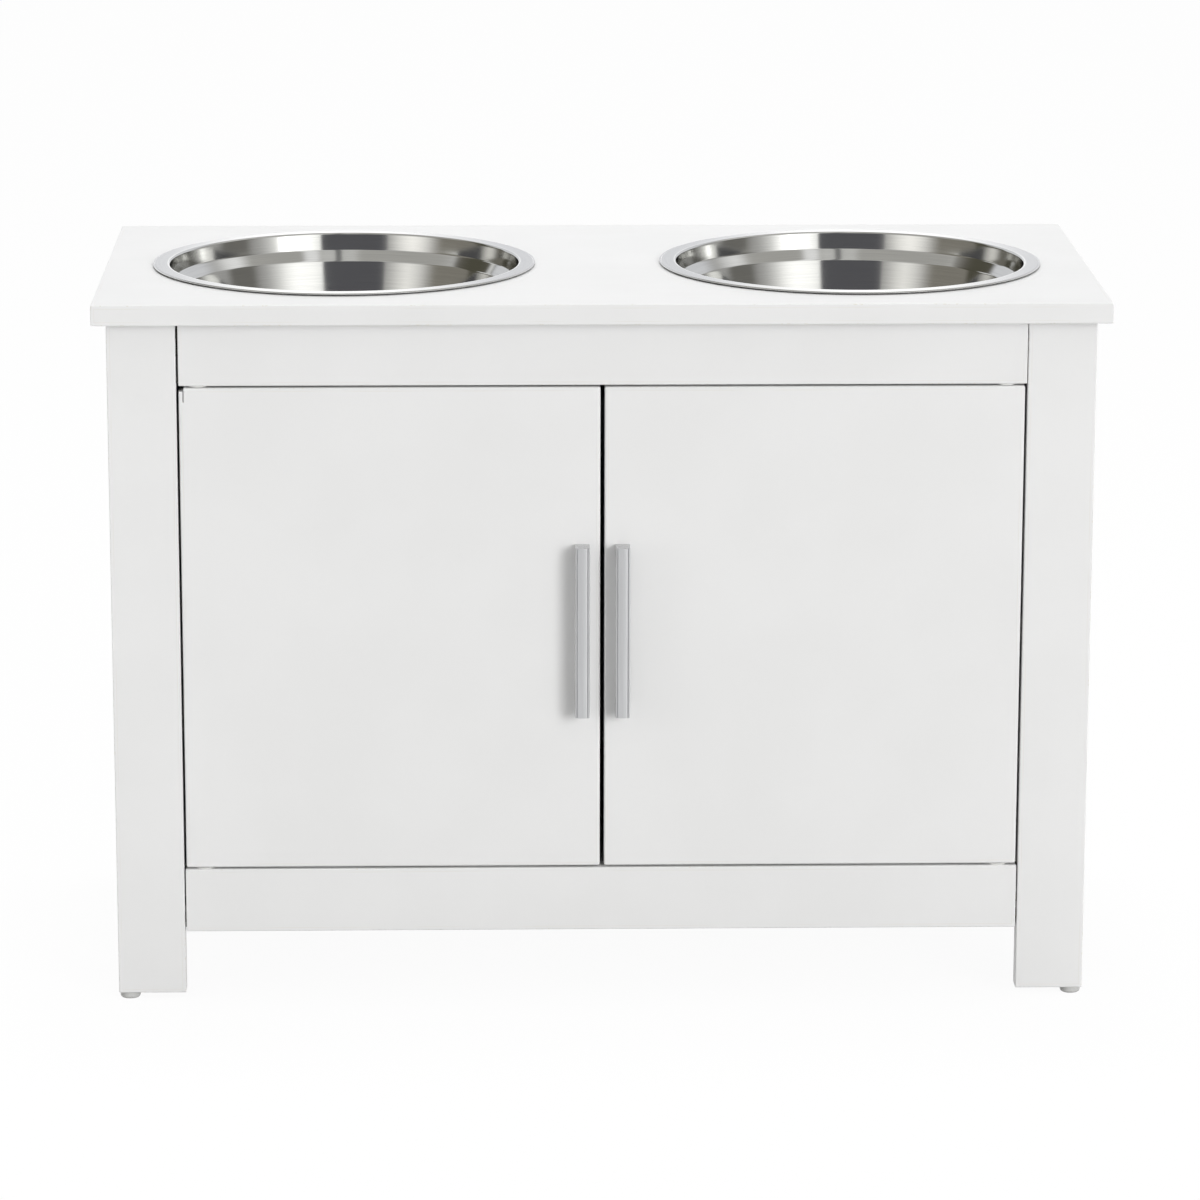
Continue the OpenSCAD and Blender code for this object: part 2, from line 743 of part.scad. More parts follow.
// A stud along Z from the joint: its thread below z = 0, its head inside the cam disc
module cam_stud() {
  b = stud_bevel;
  shaft = stud_d / 2;
  neck = stud_d / 4;
  head = stud_head_d / 2;
  head_hi = cam_back + stud_past;
  head_lo = head_hi - stud_head_h;
  neck_hi = head_lo - 2 * b;
  neck_lo = neck_hi - stud_neck_h;
  rotate_extrude() polygon([
    [0, -stud_thread], [shaft - b, -stud_thread], [shaft, b - stud_thread], [shaft, 0], [head, 0],
    [head, stud_collar_t], [shaft, stud_collar_t], [shaft, neck_lo - b], [neck, neck_lo], [neck, neck_hi],
    [head, head_lo], [head, head_hi - b], [head - b, head_hi], [0, head_hi]
  ]);
}

module cam_discs() {
  color(zinc) for (j = all_cams) {
    t = abs(j[2].z) > 0.5 ? floor_t : side_t;
    aim(j[0] + cam_back * j[1], j[1], j[2]) cam_disc(t);
  }
}

module cam_studs() {
  color(zinc) for (j = all_cams) aim(j[0], j[1], j[2]) cam_stud();
}

module wood_dowels() {
  color(wood) for (j = all_dowels) aim(j[0] - dowel_face * j[1], j[1], square_to(j[1]))
    rod(dowel_d, dowel_face + dowel_edge, dowel_bevel);
}

module back_panel_nails() {
  color(zinc) for (p = back_nails) back_nail_at(p) screw(back_nail);
}

module catch_screws() {
  color(zinc) for (s = sides, x = [-catch_screw_x, catch_screw_x])
    catch_screw_at(s, x) slotted_screw(catch_screw);
}

module glide_nails() {
  color(zinc) for (s = sides, y = [y_front_glide, y_rear_glide]) leg_nail_at(s, y) screw(glide_nail);
}

module handle_screws(s) {
  color(zinc) for (e = sides) handle_screw_at(s, e) slotted_screw(handle_screw);
}

module strike_screw(s) {
  color(zinc) strike_screw_at(s) screw(strike_screw);
}

// ---- Nodes ---------------------------------------------------------------------------------

top_panel();
side_panel(-1);  // left_side_panel
side_panel(1);  // right_side_panel
stile(-1);  // left_stile
stile(1);  // right_stile
top_front_rail();
bottom_front_rail();
floor_panel();
back_panel();
rear_top_rail();
rear_bottom_rail();
door(-1);  // left_door
door(1);  // right_door
bowl(-1);  // left_bowl
bowl(1);  // right_bowl
handle(-1);  // left_handle
handle(1);  // right_handle
handle_screws(-1);  // left_handle_screws
handle_screws(1);  // right_handle_screws
pivot_pin(-1, door_hi, 1);  // left_upper_pivot_pin
pivot_pin(-1, door_lo, -1);  // left_lower_pivot_pin
pivot_pin(1, door_hi, 1);  // right_upper_pivot_pin
pivot_pin(1, door_lo, -1);  // right_lower_pivot_pin
bushing(-1, z_rail, 1);  // left_upper_bushing
bushing(-1, z_floor, -1);  // left_lower_bushing
bushing(1, z_rail, 1);  // right_upper_bushing
bushing(1, z_floor, -1);  // right_lower_bushing
catch_housing(-1);  // left_catch_housing
catch_housing(1);  // right_catch_housing
catch_magnet(-1);  // left_catch_magnet
catch_magnet(1);  // right_catch_magnet
catch_poles(-1);  // left_catch_poles
catch_poles(1);  // right_catch_poles
catch_screws();
strike_plate(-1);  // left_strike_plate
strike_plate(1);  // right_strike_plate
strike_screw(-1);  // left_strike_screw
strike_screw(1);  // right_strike_screw
glide(-1, y_front_glide);  // front_left_glide
glide(1, y_front_glide);  // front_right_glide
glide(-1, y_rear_glide);  // rear_left_glide
glide(1, y_rear_glide);  // rear_right_glide
glide_nails();
cam_discs();
cam_studs();
wood_dowels();
back_panel_nails();
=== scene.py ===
"""Elevated dog feeder with storage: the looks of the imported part, in metres, in the part's own frame."""

import json
import logging
import math
from collections.abc import Iterable, Sequence
from dataclasses import dataclass, field
from enum import Enum

import bmesh
import bpy
from mathutils import Matrix, Vector

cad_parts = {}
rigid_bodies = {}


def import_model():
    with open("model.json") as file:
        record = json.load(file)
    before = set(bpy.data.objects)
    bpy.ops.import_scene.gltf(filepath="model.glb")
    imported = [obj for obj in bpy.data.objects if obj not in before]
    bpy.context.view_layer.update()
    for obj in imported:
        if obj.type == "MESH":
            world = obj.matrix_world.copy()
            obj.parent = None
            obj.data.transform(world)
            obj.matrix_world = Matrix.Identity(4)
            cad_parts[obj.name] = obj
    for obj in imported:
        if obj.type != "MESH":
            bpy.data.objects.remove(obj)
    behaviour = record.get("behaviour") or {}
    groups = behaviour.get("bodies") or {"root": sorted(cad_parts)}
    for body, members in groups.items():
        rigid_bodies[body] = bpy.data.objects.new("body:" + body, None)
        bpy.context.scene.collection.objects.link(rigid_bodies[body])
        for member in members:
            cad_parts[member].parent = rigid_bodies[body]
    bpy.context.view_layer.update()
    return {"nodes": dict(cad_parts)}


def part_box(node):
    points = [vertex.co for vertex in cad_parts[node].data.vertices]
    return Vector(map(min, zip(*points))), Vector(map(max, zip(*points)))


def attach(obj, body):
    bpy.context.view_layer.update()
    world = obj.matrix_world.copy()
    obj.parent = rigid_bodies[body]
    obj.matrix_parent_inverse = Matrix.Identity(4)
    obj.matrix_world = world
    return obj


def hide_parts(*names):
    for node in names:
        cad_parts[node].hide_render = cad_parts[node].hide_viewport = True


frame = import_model()

log = logging.getLogger("feeder")

MM = 0.001
Colour = tuple[float, float, float]
Path = list[tuple[float, float]]

UP = Vector((0.0, 0.0, 1.0))
BACK = Vector((0.0, 1.0, 0.0))

# The parts of a noise pattern's range over which it goes from none to full.
WIDE, EVEN, CRISP = (0.2, 0.8), (0.3, 0.7), (0.35, 0.65)

# Edges of small metal and plastic parts stay sharp above this angle, in degrees.
FINE = 35.0


class Side(Enum):
    """Which end of the cabinet a paired part belongs to; the value is the sign of its x."""

    LEFT = -1
    RIGHT = 1

    @property
    def word(self) -> str:
        """The side's word in the names of nodes and pieces."""
        return self.name.lower()


class Axis(Enum):
    """The direction in which a pattern runs."""

    X = 0
    Y = 1
    Z = 2


# ---- Node sheets ----


class Sheet:
    """A shader's node tree with short calls for the nodes that these finishes need."""

    def __init__(self, tree: bpy.types.NodeTree) -> None:
        """Empties the tree of a material, a lamp or the world."""
        tree.nodes.clear()
        self.tree = tree

    def add(self, kind: str, **settings: object) -> bpy.types.Node:
        """Adds a node.

        Args:
            kind: the node's type name.
            settings: properties of the node.

        Returns:
            The new node.
        """
        node = self.tree.nodes.new(kind)
        for name, value in settings.items():
            setattr(node, name, value)
        return node

    def feed(self, socket: bpy.types.NodeSocket, value: object) -> None:
        """Links a socket into another, or sets its own value.

        Args:
            socket: the input.
            value: an output socket, a number, a vector or a colour.
        """
        if isinstance(value, bpy.types.NodeSocket):
            self.tree.links.new(value, socket)
        elif socket.type == "RGBA":
            socket.default_value = (*value, 1.0)
        else:
            socket.default_value = value

    def calc(self, operation: str, *values: object, clamp: bool = False) -> bpy.types.NodeSocket:
        """A Math node.

        Args:
            operation: the node's operation.
            values: its inputs in order.
            clamp: whether the result is kept between 0 and 1.

        Returns:
            The result.
        """
        node = self.add("ShaderNodeMath", operation=operation, use_clamp=clamp)
        for socket, value in zip(node.inputs, values):
            self.feed(socket, value)
        return node.outputs[0]

    def give(self, shader: bpy.types.Node, **inputs: object) -> None:
        """Feeds a shader's inputs, by name with _ for a space."""
        for name, value in inputs.items():
            self.feed(shader.inputs[name.replace("_", " ").title()], value)

    def apart(self, first: object, second: object) -> bpy.types.NodeSocket:
        """How far two values are from each other."""
        return self.calc("ABSOLUTE", self.calc("SUBTRACT", first, second))

    def vector(self, operation: str, *values: object) -> bpy.types.NodeSocket:
        """A Vector Math node.

        Args:
            operation: the node's operation.
            values: its inputs in order.

        Returns:
            The resulting vector.
        """
        node = self.add("ShaderNodeVectorMath", operation=operation)
        for socket, value in zip(node.inputs, values):
            self.feed(socket, value)
        return node.outputs[0]

    def split(self, vector: bpy.types.NodeSocket) -> list[bpy.types.NodeSocket]:
        """Takes a vector apart.

        Args:
            vector: the vector.

        Returns:
            Its x, y and z.
        """
        node = self.add("ShaderNodeSeparateXYZ")
        self.feed(node.inputs[0], vector)
        return list(node.outputs)

    def join(self, x: object, y: object, z: object) -> bpy.types.NodeSocket:
        """Makes a vector from its parts.

        Args:
            x: a number or a socket.
            y: a number or a socket.
            z: a number or a socket.

        Returns:
            The vector.
        """
        node = self.add("ShaderNodeCombineXYZ")
        for socket, value in zip(node.inputs, (x, y, z)):
            self.feed(socket, value)
        return node.outputs[0]

    def ramp(self, value: object, start: float, end: float, low: float = 0.0,
             high: float = 1.0) -> bpy.types.NodeSocket:
        """A smooth step.

        Args:
            value: what is measured.
            start: the value at which the step begins.
            end: the value at which it ends.
            low: the result before the start.
            high: the result after the end.

        Returns:
            The stepped value.
        """
        node = self.add("ShaderNodeMapRange", interpolation_type="SMOOTHSTEP")
        given = {"Value": value, "From Min": start, "From Max": end, "To Min": low, "To Max": high}
        for name, item in given.items():
            self.feed(node.inputs[name], item)
        return node.outputs["Result"]

    def mix(self, share: object, first: object, second: object) -> bpy.types.NodeSocket:
        """Mixes two colours.

        Args:
            share: how much of the second one shows.
            first: a colour or a socket.
            second: a colour or a socket.

        Returns:
            The mixed colour.
        """
        node = self.add("ShaderNodeMix", data_type="RGBA")
        a, b = [s for s in node.inputs if s.type == "RGBA"]
        self.feed(node.inputs["Factor"], share)
        self.feed(a, first)
        self.feed(b, second)
        return next(s for s in node.outputs if s.type == "RGBA")

    def noise(self, place: bpy.types.NodeSocket, scale: float, detail: float = 2.0) -> bpy.types.NodeSocket:
        """A noise pattern.

        Args:
            place: the coordinates that it is read at.
            scale: waves per unit of the coordinates.
            detail: how many finer layers are added.

        Returns:
            The pattern, around 0.5.
        """
        node = self.add("ShaderNodeTexNoise")
        self.feed(node.inputs["Vector"], place)
        self.feed(node.inputs["Scale"], scale)
        self.feed(node.inputs["Detail"], detail)
        return node.outputs["Fac"]

    def here(self) -> bpy.types.NodeSocket:
        """Object coordinates, which are the part's own frame."""
        return self.add("ShaderNodeTexCoord").outputs["Object"]

    def centred(self, middle: Vector, stretch: Sequence[float] = (1.0, 1.0, 1.0)) -> bpy.types.NodeSocket:
        """Object coordinates measured from a point.

        Args:
            middle: the point, in the part's frame.
            stretch: a scale for each direction.

        Returns:
            The coordinates.
        """
        node = self.add("ShaderNodeMapping", vector_type="TEXTURE")
        self.feed(node.inputs["Vector"], self.here())
        self.feed(node.inputs["Location"], tuple(middle))
        self.feed(node.inputs["Scale"], tuple(stretch))
        return node.outputs[0]

    def relief(self, height: bpy.types.NodeSocket, depth: float) -> bpy.types.NodeSocket:
        """A bump.

        Args:
            height: the pattern, from 0 to 1.
            depth: how far 1 stands above 0, in metres.

        Returns:
            The changed normal.
        """
        node = self.add("ShaderNodeBump")
        self.feed(node.inputs["Strength"], 1.0)
        self.feed(node.inputs["Distance"], depth)
        self.feed(node.inputs["Height"], height)
        return node.outputs[0]

    def rays(self, *kinds: str) -> bpy.types.NodeSocket:
        """Tells rays of some kinds from all others.

        Args:
            kinds: the kinds, as the Light Path node names them.

        Returns:
            1 for a ray of one of the kinds, else 0.
        """
        seen = self.add("ShaderNodeLightPath").outputs
        share, *others = [seen[f"Is {kind} Ray"] for kind in kinds]
        for other in others:
            share = self.calc("MAXIMUM", share, other)
        return share

    def blend(self, share: object, first: bpy.types.Node, second: bpy.types.Node,
              out: bpy.types.Node) -> None:
        """Mixes two shaders and gives the mixture out.

        Args:
            share: how much of the second one shows.
            first: a shader.
            second: a shader.
            out: the tree's output.
        """
        node = self.add("ShaderNodeMixShader")
        for socket, value in zip(node.inputs, (share, first.outputs[0], second.outputs[0])):
            self.feed(socket, value)
        self.feed(out.inputs["Surface"], node.outputs[0])


def surface(name: str) -> tuple[bpy.types.Material, Sheet, bpy.types.Node]:
    """A new material with a Principled shader.

    Args:
        name: the material's name.

    Returns:
        The material, its sheet and the shader node.
    """
    material = bpy.data.materials.new(name)
    material.use_nodes = True
    sheet = Sheet(material.node_tree)
    shader = sheet.add("ShaderNodeBsdfPrincipled")
    out = sheet.add("ShaderNodeOutputMaterial")
    sheet.feed(out.inputs["Surface"], shader.outputs[0])
    return material, sheet, shader


def toned(colour: Colour, factor: float) -> Colour:
    """A lighter or darker tone of a colour."""
    return tuple(factor * part for part in colour)


# ---- Finishes ----


@dataclass(frozen=True)
class WhiteFoil:
    """The white foil on the boards: a faint pressed grain, and cream wear where it turns round an edge.

    What stands out of the box that is given, such as a tongue, shows the raw fibreboard, made near-black:
    partly its own dark colour and partly painted shade in the open joints.
    """

    colour: Colour = (0.83, 0.83, 0.83)
    shade: Colour = (0.814, 0.814, 0.813)
    cream: Colour = (0.66, 0.6, 0.47)
    core: Colour = (0.03, 0.025, 0.02)
    roughness: tuple[float, float] = (0.37, 0.49)
    grain_pitch: float = 2.2 * MM
    grain_length: float = 14.0
    grain_depth: float = 0.012 * MM
    cloud_scale: float = 9.0
    stretch_scale: float = 21.0
    stretch_range: tuple[float, float] = (0.42, 0.6)
    rub_scale: float = 420.0
    rub_range: tuple[float, float] = (0.56, 0.66)
    wear_reach: tuple[float, float] = (1.1 * MM, 0.33 * MM)
    wear_share: float = 0.45
    seam_at: float = 2.6 * MM
    seam_width: float = 0.5 * MM
    seam_share: float = 0.16
    core_out: float = -0.05 * MM

    def edge_distance(self, sheet: Sheet, low: Vector, high: Vector) -> list[bpy.types.NodeSocket]:
        """How far a point of a box's surface is from the nearest edge and the nearest face of the box.

        Args:
            sheet: the material's sheet.
            low: the board's lowest corner.
            high: the board's highest corner.

        Returns:
            The two distances, in metres. The second is below 0 outside the box.
        """
        here = sheet.here()
        from_low = sheet.vector("SUBTRACT", here, tuple(low))
        from_high = sheet.vector("SUBTRACT", tuple(high), here)
        x, y, z = sheet.split(sheet.vector("MINIMUM", from_low, from_high))
        lesser = sheet.calc("MINIMUM", x, y)
        greater = sheet.calc("MAXIMUM", x, y)
        edge = sheet.calc("MAXIMUM", lesser, sheet.calc("MINIMUM", greater, z))
        return [edge, sheet.calc("MINIMUM", lesser, z)]

    def material(self, name: str, low: Vector, high: Vector, along: Axis) -> bpy.types.Material:
        """The finish of one board.

        Args:
            name: the material's name.
            low: the board's lowest corner.
            high: the board's highest corner.
            along: the direction in which the grain runs.

        Returns:
            The material.
        """
        material, sheet, shader = surface(name)
        middle = (low + high) / 2
        stretch = [self.grain_pitch] * 3
        stretch[along.value] *= self.grain_length
        grain = sheet.noise(sheet.centred(middle, stretch), 1.0, 3.0)
        clouds = sheet.noise(sheet.centred(middle), self.cloud_scale, 2.0)
        edge, face = self.edge_distance(sheet, low, high)
        rubbed = sheet.ramp(sheet.noise(sheet.centred(middle), self.rub_scale, 3.0), *self.rub_range)
        stretches = sheet.noise(sheet.centred(middle), self.stretch_scale, 1.0)
        stretches = sheet.ramp(stretches, *self.stretch_range)
        near = sheet.ramp(edge, *self.wear_reach)
        wear = sheet.calc("MULTIPLY", sheet.calc("MULTIPLY", near, rubbed), stretches)
        on_seam = sheet.ramp(sheet.apart(edge, self.seam_at), self.seam_width, 0.0)
        seam = sheet.calc("MULTIPLY", on_seam, stretches)
        base = sheet.mix(sheet.ramp(clouds, *CRISP), self.colour, self.shade)
        base = sheet.mix(sheet.calc("MULTIPLY", seam, self.seam_share), base, self.cream)
        base = sheet.mix(sheet.calc("MULTIPLY", wear, self.wear_share), base, self.cream)
        # Partly painted shade: the raw board behind the open joints is made near-black so that the joints
        # read as shade.
        base = sheet.mix(sheet.calc("LESS_THAN", face, self.core_out), base, self.core)
        sheet.give(shader, base_color=base, roughness=sheet.ramp(grain, *WIDE, *self.roughness),
                   normal=sheet.relief(grain, self.grain_depth))
        return material


@dataclass(frozen=True)
class PolishedSteel:
    """Polished stainless steel with the fine rings that the buffing wheel leaves."""

    colour: Colour = (0.66, 0.66, 0.645)
    ring_colour: Colour = (0.61, 0.61, 0.6)
    roughness: tuple[float, float] = (0.085, 0.115)
    haze_scale: float = 24.0
    ring_pitch: float = 0.9 * MM
    ring_swirl: float = 2.2
    ring_depth: float = 0.001 * MM
    lip_r: float = 140.5 * MM
    lip_down: float = 0.95 * MM
    lip_colour: Colour = (0.05, 0.05, 0.05)

    def material(self, name: str, axis: Vector) -> bpy.types.Material:
        """The finish of one bowl.

        Args:
            name: the material's name.
            axis: a point on the bowl's upright axis.

        Returns:
            The material.
        """
        material, sheet, shader = surface(name)
        x, y, z = sheet.split(sheet.centred(axis))
        squares = [sheet.calc("MULTIPLY", part, part) for part in (x, y)]
        radius = sheet.calc("SQRT", sheet.calc("ADD", *squares))
        across = sheet.calc("DIVIDE", sheet.calc("ADD", radius, z), self.ring_pitch)
        turn = sheet.calc("MULTIPLY", sheet.calc("ARCTAN2", x, y), self.ring_swirl)
        rings = sheet.noise(sheet.join(across, turn, 0.0), 1.0, 3.0)
        haze = sheet.noise(sheet.centred(axis), self.haze_scale, 2.0)
        buffed = sheet.mix(sheet.ramp(rings, *EVEN), self.colour, self.ring_colour)
        # Painted shade: the underside of the rolled lip is painted near-black for the shadow in the gap under
        # the rim.
        far_out = sheet.calc("GREATER_THAN", radius, self.lip_r)
        lip_shade_share = sheet.calc("MULTIPLY", sheet.calc("LESS_THAN", z, -self.lip_down), far_out)
        sheet.give(shader, base_color=sheet.mix(lip_shade_share, buffed, self.lip_colour), metallic=1.0,
                   roughness=sheet.ramp(haze, *EVEN, *self.roughness),
                   normal=sheet.relief(rings, self.ring_depth))
        return material


@dataclass(frozen=True)
class SatinMetal:
    """Satin aluminium, brushed along the bar, with sawn and blasted ends."""

    colour: Colour = (0.62, 0.625, 0.635)
    dark_tone: float = 0.93
    roughness: float = 0.4
    brush_pitch: float = 0.35 * MM
    brush_length: float = 90.0
    brush_depth: float = 0.003 * MM
    end_colour: Colour = (0.64, 0.64, 0.65)
    end_tone: float = 1.25
    end_roughness: float = 0.25
    end_reach: tuple[float, float] = (0.25 * MM, 0.1 * MM)
    blast_pitch: float = 1.1 * MM

    def material(self, name: str, low: Vector, high: Vector) -> bpy.types.Material:
        """The finish of one upright bar.

        Args:
            name: the material's name.
            low: the bar's lowest corner.
            high: the bar's highest corner.

        Returns:
            The material.
        """
        material, sheet, shader = surface(name)
        middle = (low + high) / 2
        pitch = self.brush_pitch
        brush = sheet.noise(sheet.centred(middle, (pitch, pitch, pitch * self.brush_length)), 1.0, 3.0)
        blast = sheet.noise(sheet.centred(middle, (self.blast_pitch,) * 3), 1.0, 2.0)
        z = sheet.split(sheet.centred(middle))[2]
        half = (high.z - low.z) / 2
        end = sheet.ramp(sheet.calc("ABSOLUTE", z), *[half - reach for reach in self.end_reach])
        drawn = sheet.mix(sheet.ramp(brush, *EVEN), self.colour, toned(self.colour, self.dark_tone))
        sawn = sheet.mix(sheet.ramp(blast, *CRISP), self.end_colour, toned(self.end_colour, self.end_tone))
        roughness = sheet.calc("MULTIPLY_ADD", end, self.end_roughness, self.roughness)
        sheet.give(shader, base_color=sheet.mix(end, drawn, sawn), metallic=1.0, roughness=roughness,
                   normal=sheet.relief(brush, self.brush_depth))
        return material


@dataclass(frozen=True)
class Moulded:
    """Moulded plastic or pressed ferrite: a fine spark-eroded skin and slight clouding."""

    name: str
    colour: Colour
    roughness: tuple[float, float]
    skin_pitch: float = 0.5 * MM
    skin_depth: float = 0.008 * MM
    cloud_scale: float = 60.0
    cloud_tone: float = 0.94

    def material(self) -> bpy.types.Material:
        """The finish, shared by all pieces that have it.

        Returns:
            The material.
        """
        material, sheet, shader = surface(self.name)
        skin = sheet.noise(sheet.centred(Vector(), (self.skin_pitch,) * 3), 1.0, 3.0)
        clouds = sheet.noise(sheet.here(), self.cloud_scale, 2.0)
        base = sheet.mix(sheet.ramp(clouds, *CRISP), self.colour, toned(self.colour, self.cloud_tone))
        sheet.give(shader, base_color=base, roughness=sheet.ramp(skin, *WIDE, *self.roughness),
                   normal=sheet.relief(skin, self.skin_depth))
        return material


@dataclass(frozen=True)
class ZincPlate:
    """Zinc-plated steel: bright, slightly mottled and a little dull where it is handled."""

    colour: Colour = (0.62, 0.63, 0.65)
    dull: Colour = (0.5, 0.5, 0.51)
    roughness: tuple[float, float] = (0.3, 0.45)
    spangle_scale: float = 700.0
    spangle_depth: float = 0.01 * MM
    stain_scale: float = 90.0
    stain_range: tuple[float, float] = (0.4, 0.7)

    def material(self) -> bpy.types.Material:
        """The finish, shared by all pieces that have it.

        Returns:
            The material.
        """
        material, sheet, shader = surface("zinc_plate")
        spangle = sheet.noise(sheet.here(), self.spangle_scale, 3.0)
        stain = sheet.ramp(sheet.noise(sheet.here(), self.stain_scale, 2.0), *self.stain_range)
        sheet.give(shader, base_color=sheet.mix(stain, self.colour, self.dull), metallic=1.0,
                   roughness=sheet.ramp(spangle, *EVEN, *self.roughness),
                   normal=sheet.relief(spangle, self.spangle_depth))
        return material


@dataclass(frozen=True)
class Beech:
    """Turned beech: dark flecks on a warm ground, and painted shade where a dowel crosses an open joint."""

    ground: Colour = (0.62, 0.42, 0.25)
    dark_tone: float = 0.86
    fleck: Colour = (0.42, 0.26, 0.14)
    stain: Colour = (0.025, 0.022, 0.02)
    roughness: tuple[float, float] = (0.55, 0.7)
    figure_scale: float = 160.0
    fleck_scale: float = 900.0
    fleck_range: tuple[float, float] = (0.6, 0.72)
    fleck_depth: float = 0.03 * MM

    def material(self, joints: Sequence[tuple[float, float]]) -> bpy.types.Material:
        """The finish, shared by all dowels.

        Args:
            joints: the open joints' lowest and highest x.

        Returns:
            The material.
        """
        material, sheet, shader = surface("turned_beech")
        figure = sheet.noise(sheet.here(), self.figure_scale, 3.0)
        flecks = sheet.ramp(sheet.noise(sheet.here(), self.fleck_scale, 2.0), *self.fleck_range)
        ground = sheet.mix(sheet.ramp(figure, *CRISP), self.ground, toned(self.ground, self.dark_tone))
        base = sheet.mix(flecks, ground, self.fleck)
        x = sheet.split(sheet.here())[0]
        # Painted shade: where a dowel crosses an open joint it is painted near-black, for the shade inside
        # the joint.
        for low, high in joints:
            inside = sheet.calc("LESS_THAN", sheet.apart(x, (low + high) / 2), (high - low) / 2)
            base = sheet.mix(inside, base, self.stain)
        sheet.give(shader, base_color=base, roughness=sheet.ramp(figure, *EVEN, *self.roughness),
                   normal=sheet.relief(flecks, self.fleck_depth))
        return material


WHITE_PLASTIC = Moulded("moulded_white", (0.76, 0.76, 0.74), (0.34, 0.48))
GREY_PLASTIC = Moulded("moulded_grey", (0.6, 0.6, 0.59), (0.39, 0.53))
FERRITE = Moulded("pressed_ferrite", (0.035, 0.035, 0.04), (0.54, 0.68), 0.3 * MM, 0.02 * MM)


# ---- Mesh work ----


def path_of(points: Sequence[tuple[float, float, float]], steps: int = 8) -> Path:
    """A path with rounded corners, with a short straight piece beside each rounding.

    Args:
        points: the corners as (radius from the axis, height, rounding).
        steps: pieces in each rounding.

    Returns:
        The path's points.
    """
    flat = [Vector(p[:2]) for p in points]
    made: list[Vector] = [flat[0]]
    for i in range(1, len(flat) - 1):
        rounding = points[i][2]
        if rounding == 0:
            made.append(flat[i])
            continue
        back, on = (flat[i - 1] - flat[i]).normalized(), (flat[i + 1] - flat[i]).normalized()
        half = back.angle(on) / 2
        centre = flat[i] + (back + on).normalized() * rounding / math.sin(half)
        start = flat[i] + back * rounding / math.tan(half) - centre
        sweep = math.pi - 2 * half
        if start.y * back.x - start.x * back.y < 0:
            sweep = -sweep
        for k in range(steps + 1):
            made.append(centre + Matrix.Rotation(sweep * k / steps, 2) @ start)
    made.append(flat[-1])
    return [tuple(p) for p in made]


def with_support(path: Path, reach: float) -> Path:
    """Adds a point near each end of the long straight pieces, so that smooth shading stays true on them.

    Args:
        path: the points of a path.
        reach: how far from each end the new points lie.

    Returns:
        The path with its new points.
    """
    made: Path = [path[0]]
    for a, b in zip(path, path[1:]):
        length = math.dist(a, b)
        if length > 4 * reach:
            for share in (reach / length, 1 - reach / length):
                made.append((a[0] + (b[0] - a[0]) * share, a[1] + (b[1] - a[1]) * share))
        made.append(b)
    return made


def moved(path: Path, distance: float) -> Path:
    """A path moved sideways, to the left of its direction.

    Args:
        path: the points of a path.
        distance: how far it is moved.

    Returns:
        The moved path.
    """
    made: Path = []
    for i, point in enumerate(path):
        before, after = Vector(path[max(i - 1, 0)]), Vector(path[min(i + 1, len(path) - 1)])
        along = (after - before).normalized()
        made.append((point[0] - along.y * distance, point[1] + along.x * distance))
    return made


def block(low: Vector, high: Vector, rounding: float, segments: int = 4) -> bmesh.types.BMesh:
    """A block with rounded edges.

    Args:
        low: its lowest corner.
        high: its highest corner.
        rounding: the radius of its edges; 0 leaves them sharp.
        segments: pieces across each rounding.

    Returns:
        The block's mesh.
    """
    mesh = bmesh.new()
    bmesh.ops.create_cube(mesh, size=1.0)
    size, middle = high - low, (high + low) / 2
    for vertex in mesh.verts:
        vertex.co = middle + Vector([c * s for c, s in zip(vertex.co, size)])
    if rounding > 0:
        edges = list(mesh.edges)
        bmesh.ops.bevel(mesh, geom=edges, offset=rounding, segments=segments, profile=0.5, affect="EDGES")
    return mesh


def prism(outline: Path, low: float, high: float) -> bmesh.types.BMesh:
    """An outline in x and y, drawn up between two heights.

    Args:
        outline: its points, counter-clockwise seen from above.
        low: the lower height.
        high: the upper height.

    Returns:
        The prism's mesh.
    """
    mesh = bmesh.new()
    face = mesh.faces.new([mesh.verts.new((x, y, low)) for x, y in outline])
    risen = bmesh.ops.extrude_face_region(mesh, geom=[face])["geom"]
    top = [item for item in risen if isinstance(item, bmesh.types.BMVert)]
    bmesh.ops.translate(mesh, vec=(0, 0, high - low), verts=top)
    bmesh.ops.recalc_face_normals(mesh, faces=list(mesh.faces))
    return mesh


def drum(middle: Vector, radius: float, half_height: float, segments: int = 96) -> bmesh.types.BMesh:
    """An upright cylinder about a point.

    Args:
        middle: the point.
        radius: its radius.
        half_height: how far it reaches above and below the point.
        segments: its sides.

    Returns:
        The cylinder's mesh.
    """
    mesh = bmesh.new()
    bmesh.ops.create_cone(mesh, cap_ends=True, segments=segments, radius1=radius, radius2=radius,
                          depth=2 * half_height, matrix=Matrix.Translation(middle))
    return mesh


def over(low: Vector, high: Vector, height: float) -> Vector:
    """The point at a height on the upright line through a box's middle."""
    return Vector(((low.x + high.x) / 2, (low.y + high.y) / 2, height))


def place(mesh: bmesh.types.BMesh, name: str) -> bpy.types.Object:
    """Puts mesh data in the scene as an object at the origin.

    Args:
        mesh: the mesh data, which is freed.
        name: the object's name.

    Returns:
        The object.
    """
    data = bpy.data.meshes.new(name)
    mesh.to_mesh(data)
    mesh.free()
    made = bpy.data.objects.new(name, data)
    bpy.context.scene.collection.objects.link(made)
    return made


def settle(piece: bpy.types.Object) -> None:
    """Turns a piece's modifiers into its plain mesh.

    Args:
        piece: the piece.
    """
    graph = bpy.context.evaluated_depsgraph_get()
    data = bpy.data.meshes.new_from_object(piece.evaluated_get(graph))
    piece.modifiers.clear()
    old = piece.data
    piece.data = data
    data.name = piece.name
    if old.users == 0:
        bpy.data.meshes.remove(old)


